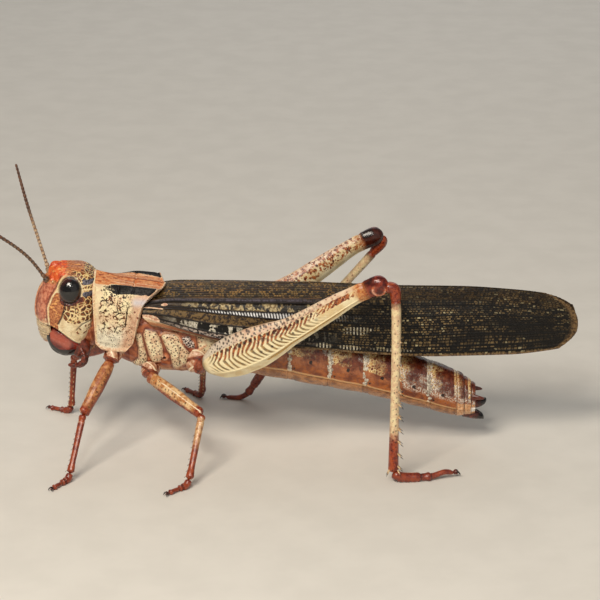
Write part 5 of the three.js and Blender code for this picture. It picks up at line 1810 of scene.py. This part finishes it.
    shank = Limb(shin, (1, 0, 0))
    p, u, angle = limb_skin(shank, 420, 64, shank_girth, shank_girth, (0.02, 0.02), shank_relief)
    run = u * shank.length
    specks = np.max([studs(run + shift, np.sin((angle - at) / 2) * 1.1, gap, 0.09)
                     for at, shift, gap in SHANK_SPECKS], axis=0)
    leg_shell(name, "tibia", p, SHANK_FINISH, {
        "knee": rise(0.145, 0.12, u),
        "dark": unit(0.4 * hump(u - 0.135, 0.01) + 0.8 * specks * rise(0.16, 0.2, u)),
        "spots": 0.6 * rise(0.16, 0.25, u),
        "tip": 0.5 * hump(u - 0.145, 0.02) + 0.25 * rise(0.35, 0.6, u) + 0.75 * rise(0.72, 0.94, u),
        "light": 0.4 * window(u, 0.2, 0.25, 0.4, 0.5),
    })
    thorns = []
    for row, turn in enumerate((-0.5, 0.5)):
        for t in np.linspace(0.3 + 0.02 * row, 0.965, 11):
            girth = float(shank_girth(t)) * 0.92
            root = shank.at(np.array(t), np.cos(turn) * girth, np.sin(turn) * girth)
            way = shank.read(shank.up, t) * np.cos(turn) + shank.read(shank.out, t) * np.sin(turn) * 1.3
            thorns.append((root, way + shank.read(shank.run, t) * 0.75, 0.45 + 0.5 * rise(0.3, 0.7, t), 0.11))
    for turn, length in ((0.4, 1.0), (-0.4, 0.9), (2.6, 0.85), (-2.6, 0.8)):
        up, out = np.cos(turn), np.sin(turn)
        root = shank.at(np.array(0.985), up * 0.5, out * 0.5)
        way = shank.read(shank.up, 0.98) * up * 0.6 + shank.read(shank.out, 0.98) * out * 0.6
        thorns.append((root, way + shank.read(shank.run, 0.98), length, 0.12))
    spikes(f"{name}_tibia_spines", thorns, SPINE_FINISH)
    make_foot(name, [shin[-1], *foot], hind_foot_girth, (0.46, 0.62), 0.85)


for side in SIDES:
    make_hind_leg(side)


# ---------- floor, light and camera ----------
def floor_finish():
    f = Finish("studio floor")
    f.skin = f.tone(f.noise(6.0, 3), "d9d5cd", "dedad2", 0.3, 0.7)
    return f.done(0.9)


FLOOR_HALF = 8.0  # metres
bm = bmesh.new()
bmesh.ops.create_grid(bm, x_segments=1, y_segments=1, size=FLOOR_HALF)
floor_mesh = bpy.data.meshes.new("floor")
bm.to_mesh(floor_mesh)
bm.free()
floor_mesh.materials.append(floor_finish())
floor = bpy.data.objects.new("floor", floor_mesh)
bpy.context.scene.collection.objects.link(floor)

MIDDLE = (34, 0, 12)
# Each lamp's place, its width in metres, its power in watts and its colour. All face the insect's middle.
LAMPS = {
    "key": ((-70, -190, 260), 0.11, 0.7, "fff4e4"),
    "glint": ((10, -200, 170), 0.035, 0.15, "fffaf0"),
    "fill": ((170, -230, 120), 0.3, 0.08, "fff8f0"),
    "back": ((60, 240, 200), 0.3, 0.2, "ffffff"),
}
for name, (at, width, power, colour) in LAMPS.items():
    light = bpy.data.lights.new(name, "AREA")
    light.size = width
    light.energy = power
    light.color = paint(colour)[:3]
    lamp = bpy.data.objects.new(name, light)
    lamp.location = on_row(at)
    lamp.rotation_euler = Vector(on_row(MIDDLE) - on_row(at)).to_track_quat("-Z", "Y").to_euler()
    bpy.context.scene.collection.objects.link(lamp)

ROOM_COLOUR = (1.0, 0.98, 0.95, 1.0)
ROOM_LIGHT = 0.2
world = bpy.data.worlds.new("studio")
world.use_nodes = True
room = world.node_tree.nodes["Background"].inputs
room["Color"].default_value = ROOM_COLOUR
room["Strength"].default_value = ROOM_LIGHT
bpy.context.scene.world = world
bpy.context.scene.view_settings.view_transform = "Standard"

CAMERA_AT = (34.5, -243.14, 106.0)
CAMERA_TILT = 70  # degrees from looking straight down
lens = bpy.data.cameras.new("camera")
lens.lens = 135
lens.sensor_width = 36
lens.clip_start = 0.01
camera = bpy.data.objects.new("camera", lens)
camera.location = on_row(CAMERA_AT)
camera.rotation_euler = Euler((np.radians(CAMERA_TILT), 0, 0))
bpy.context.scene.collection.objects.link(camera)
bpy.context.scene.camera = camera
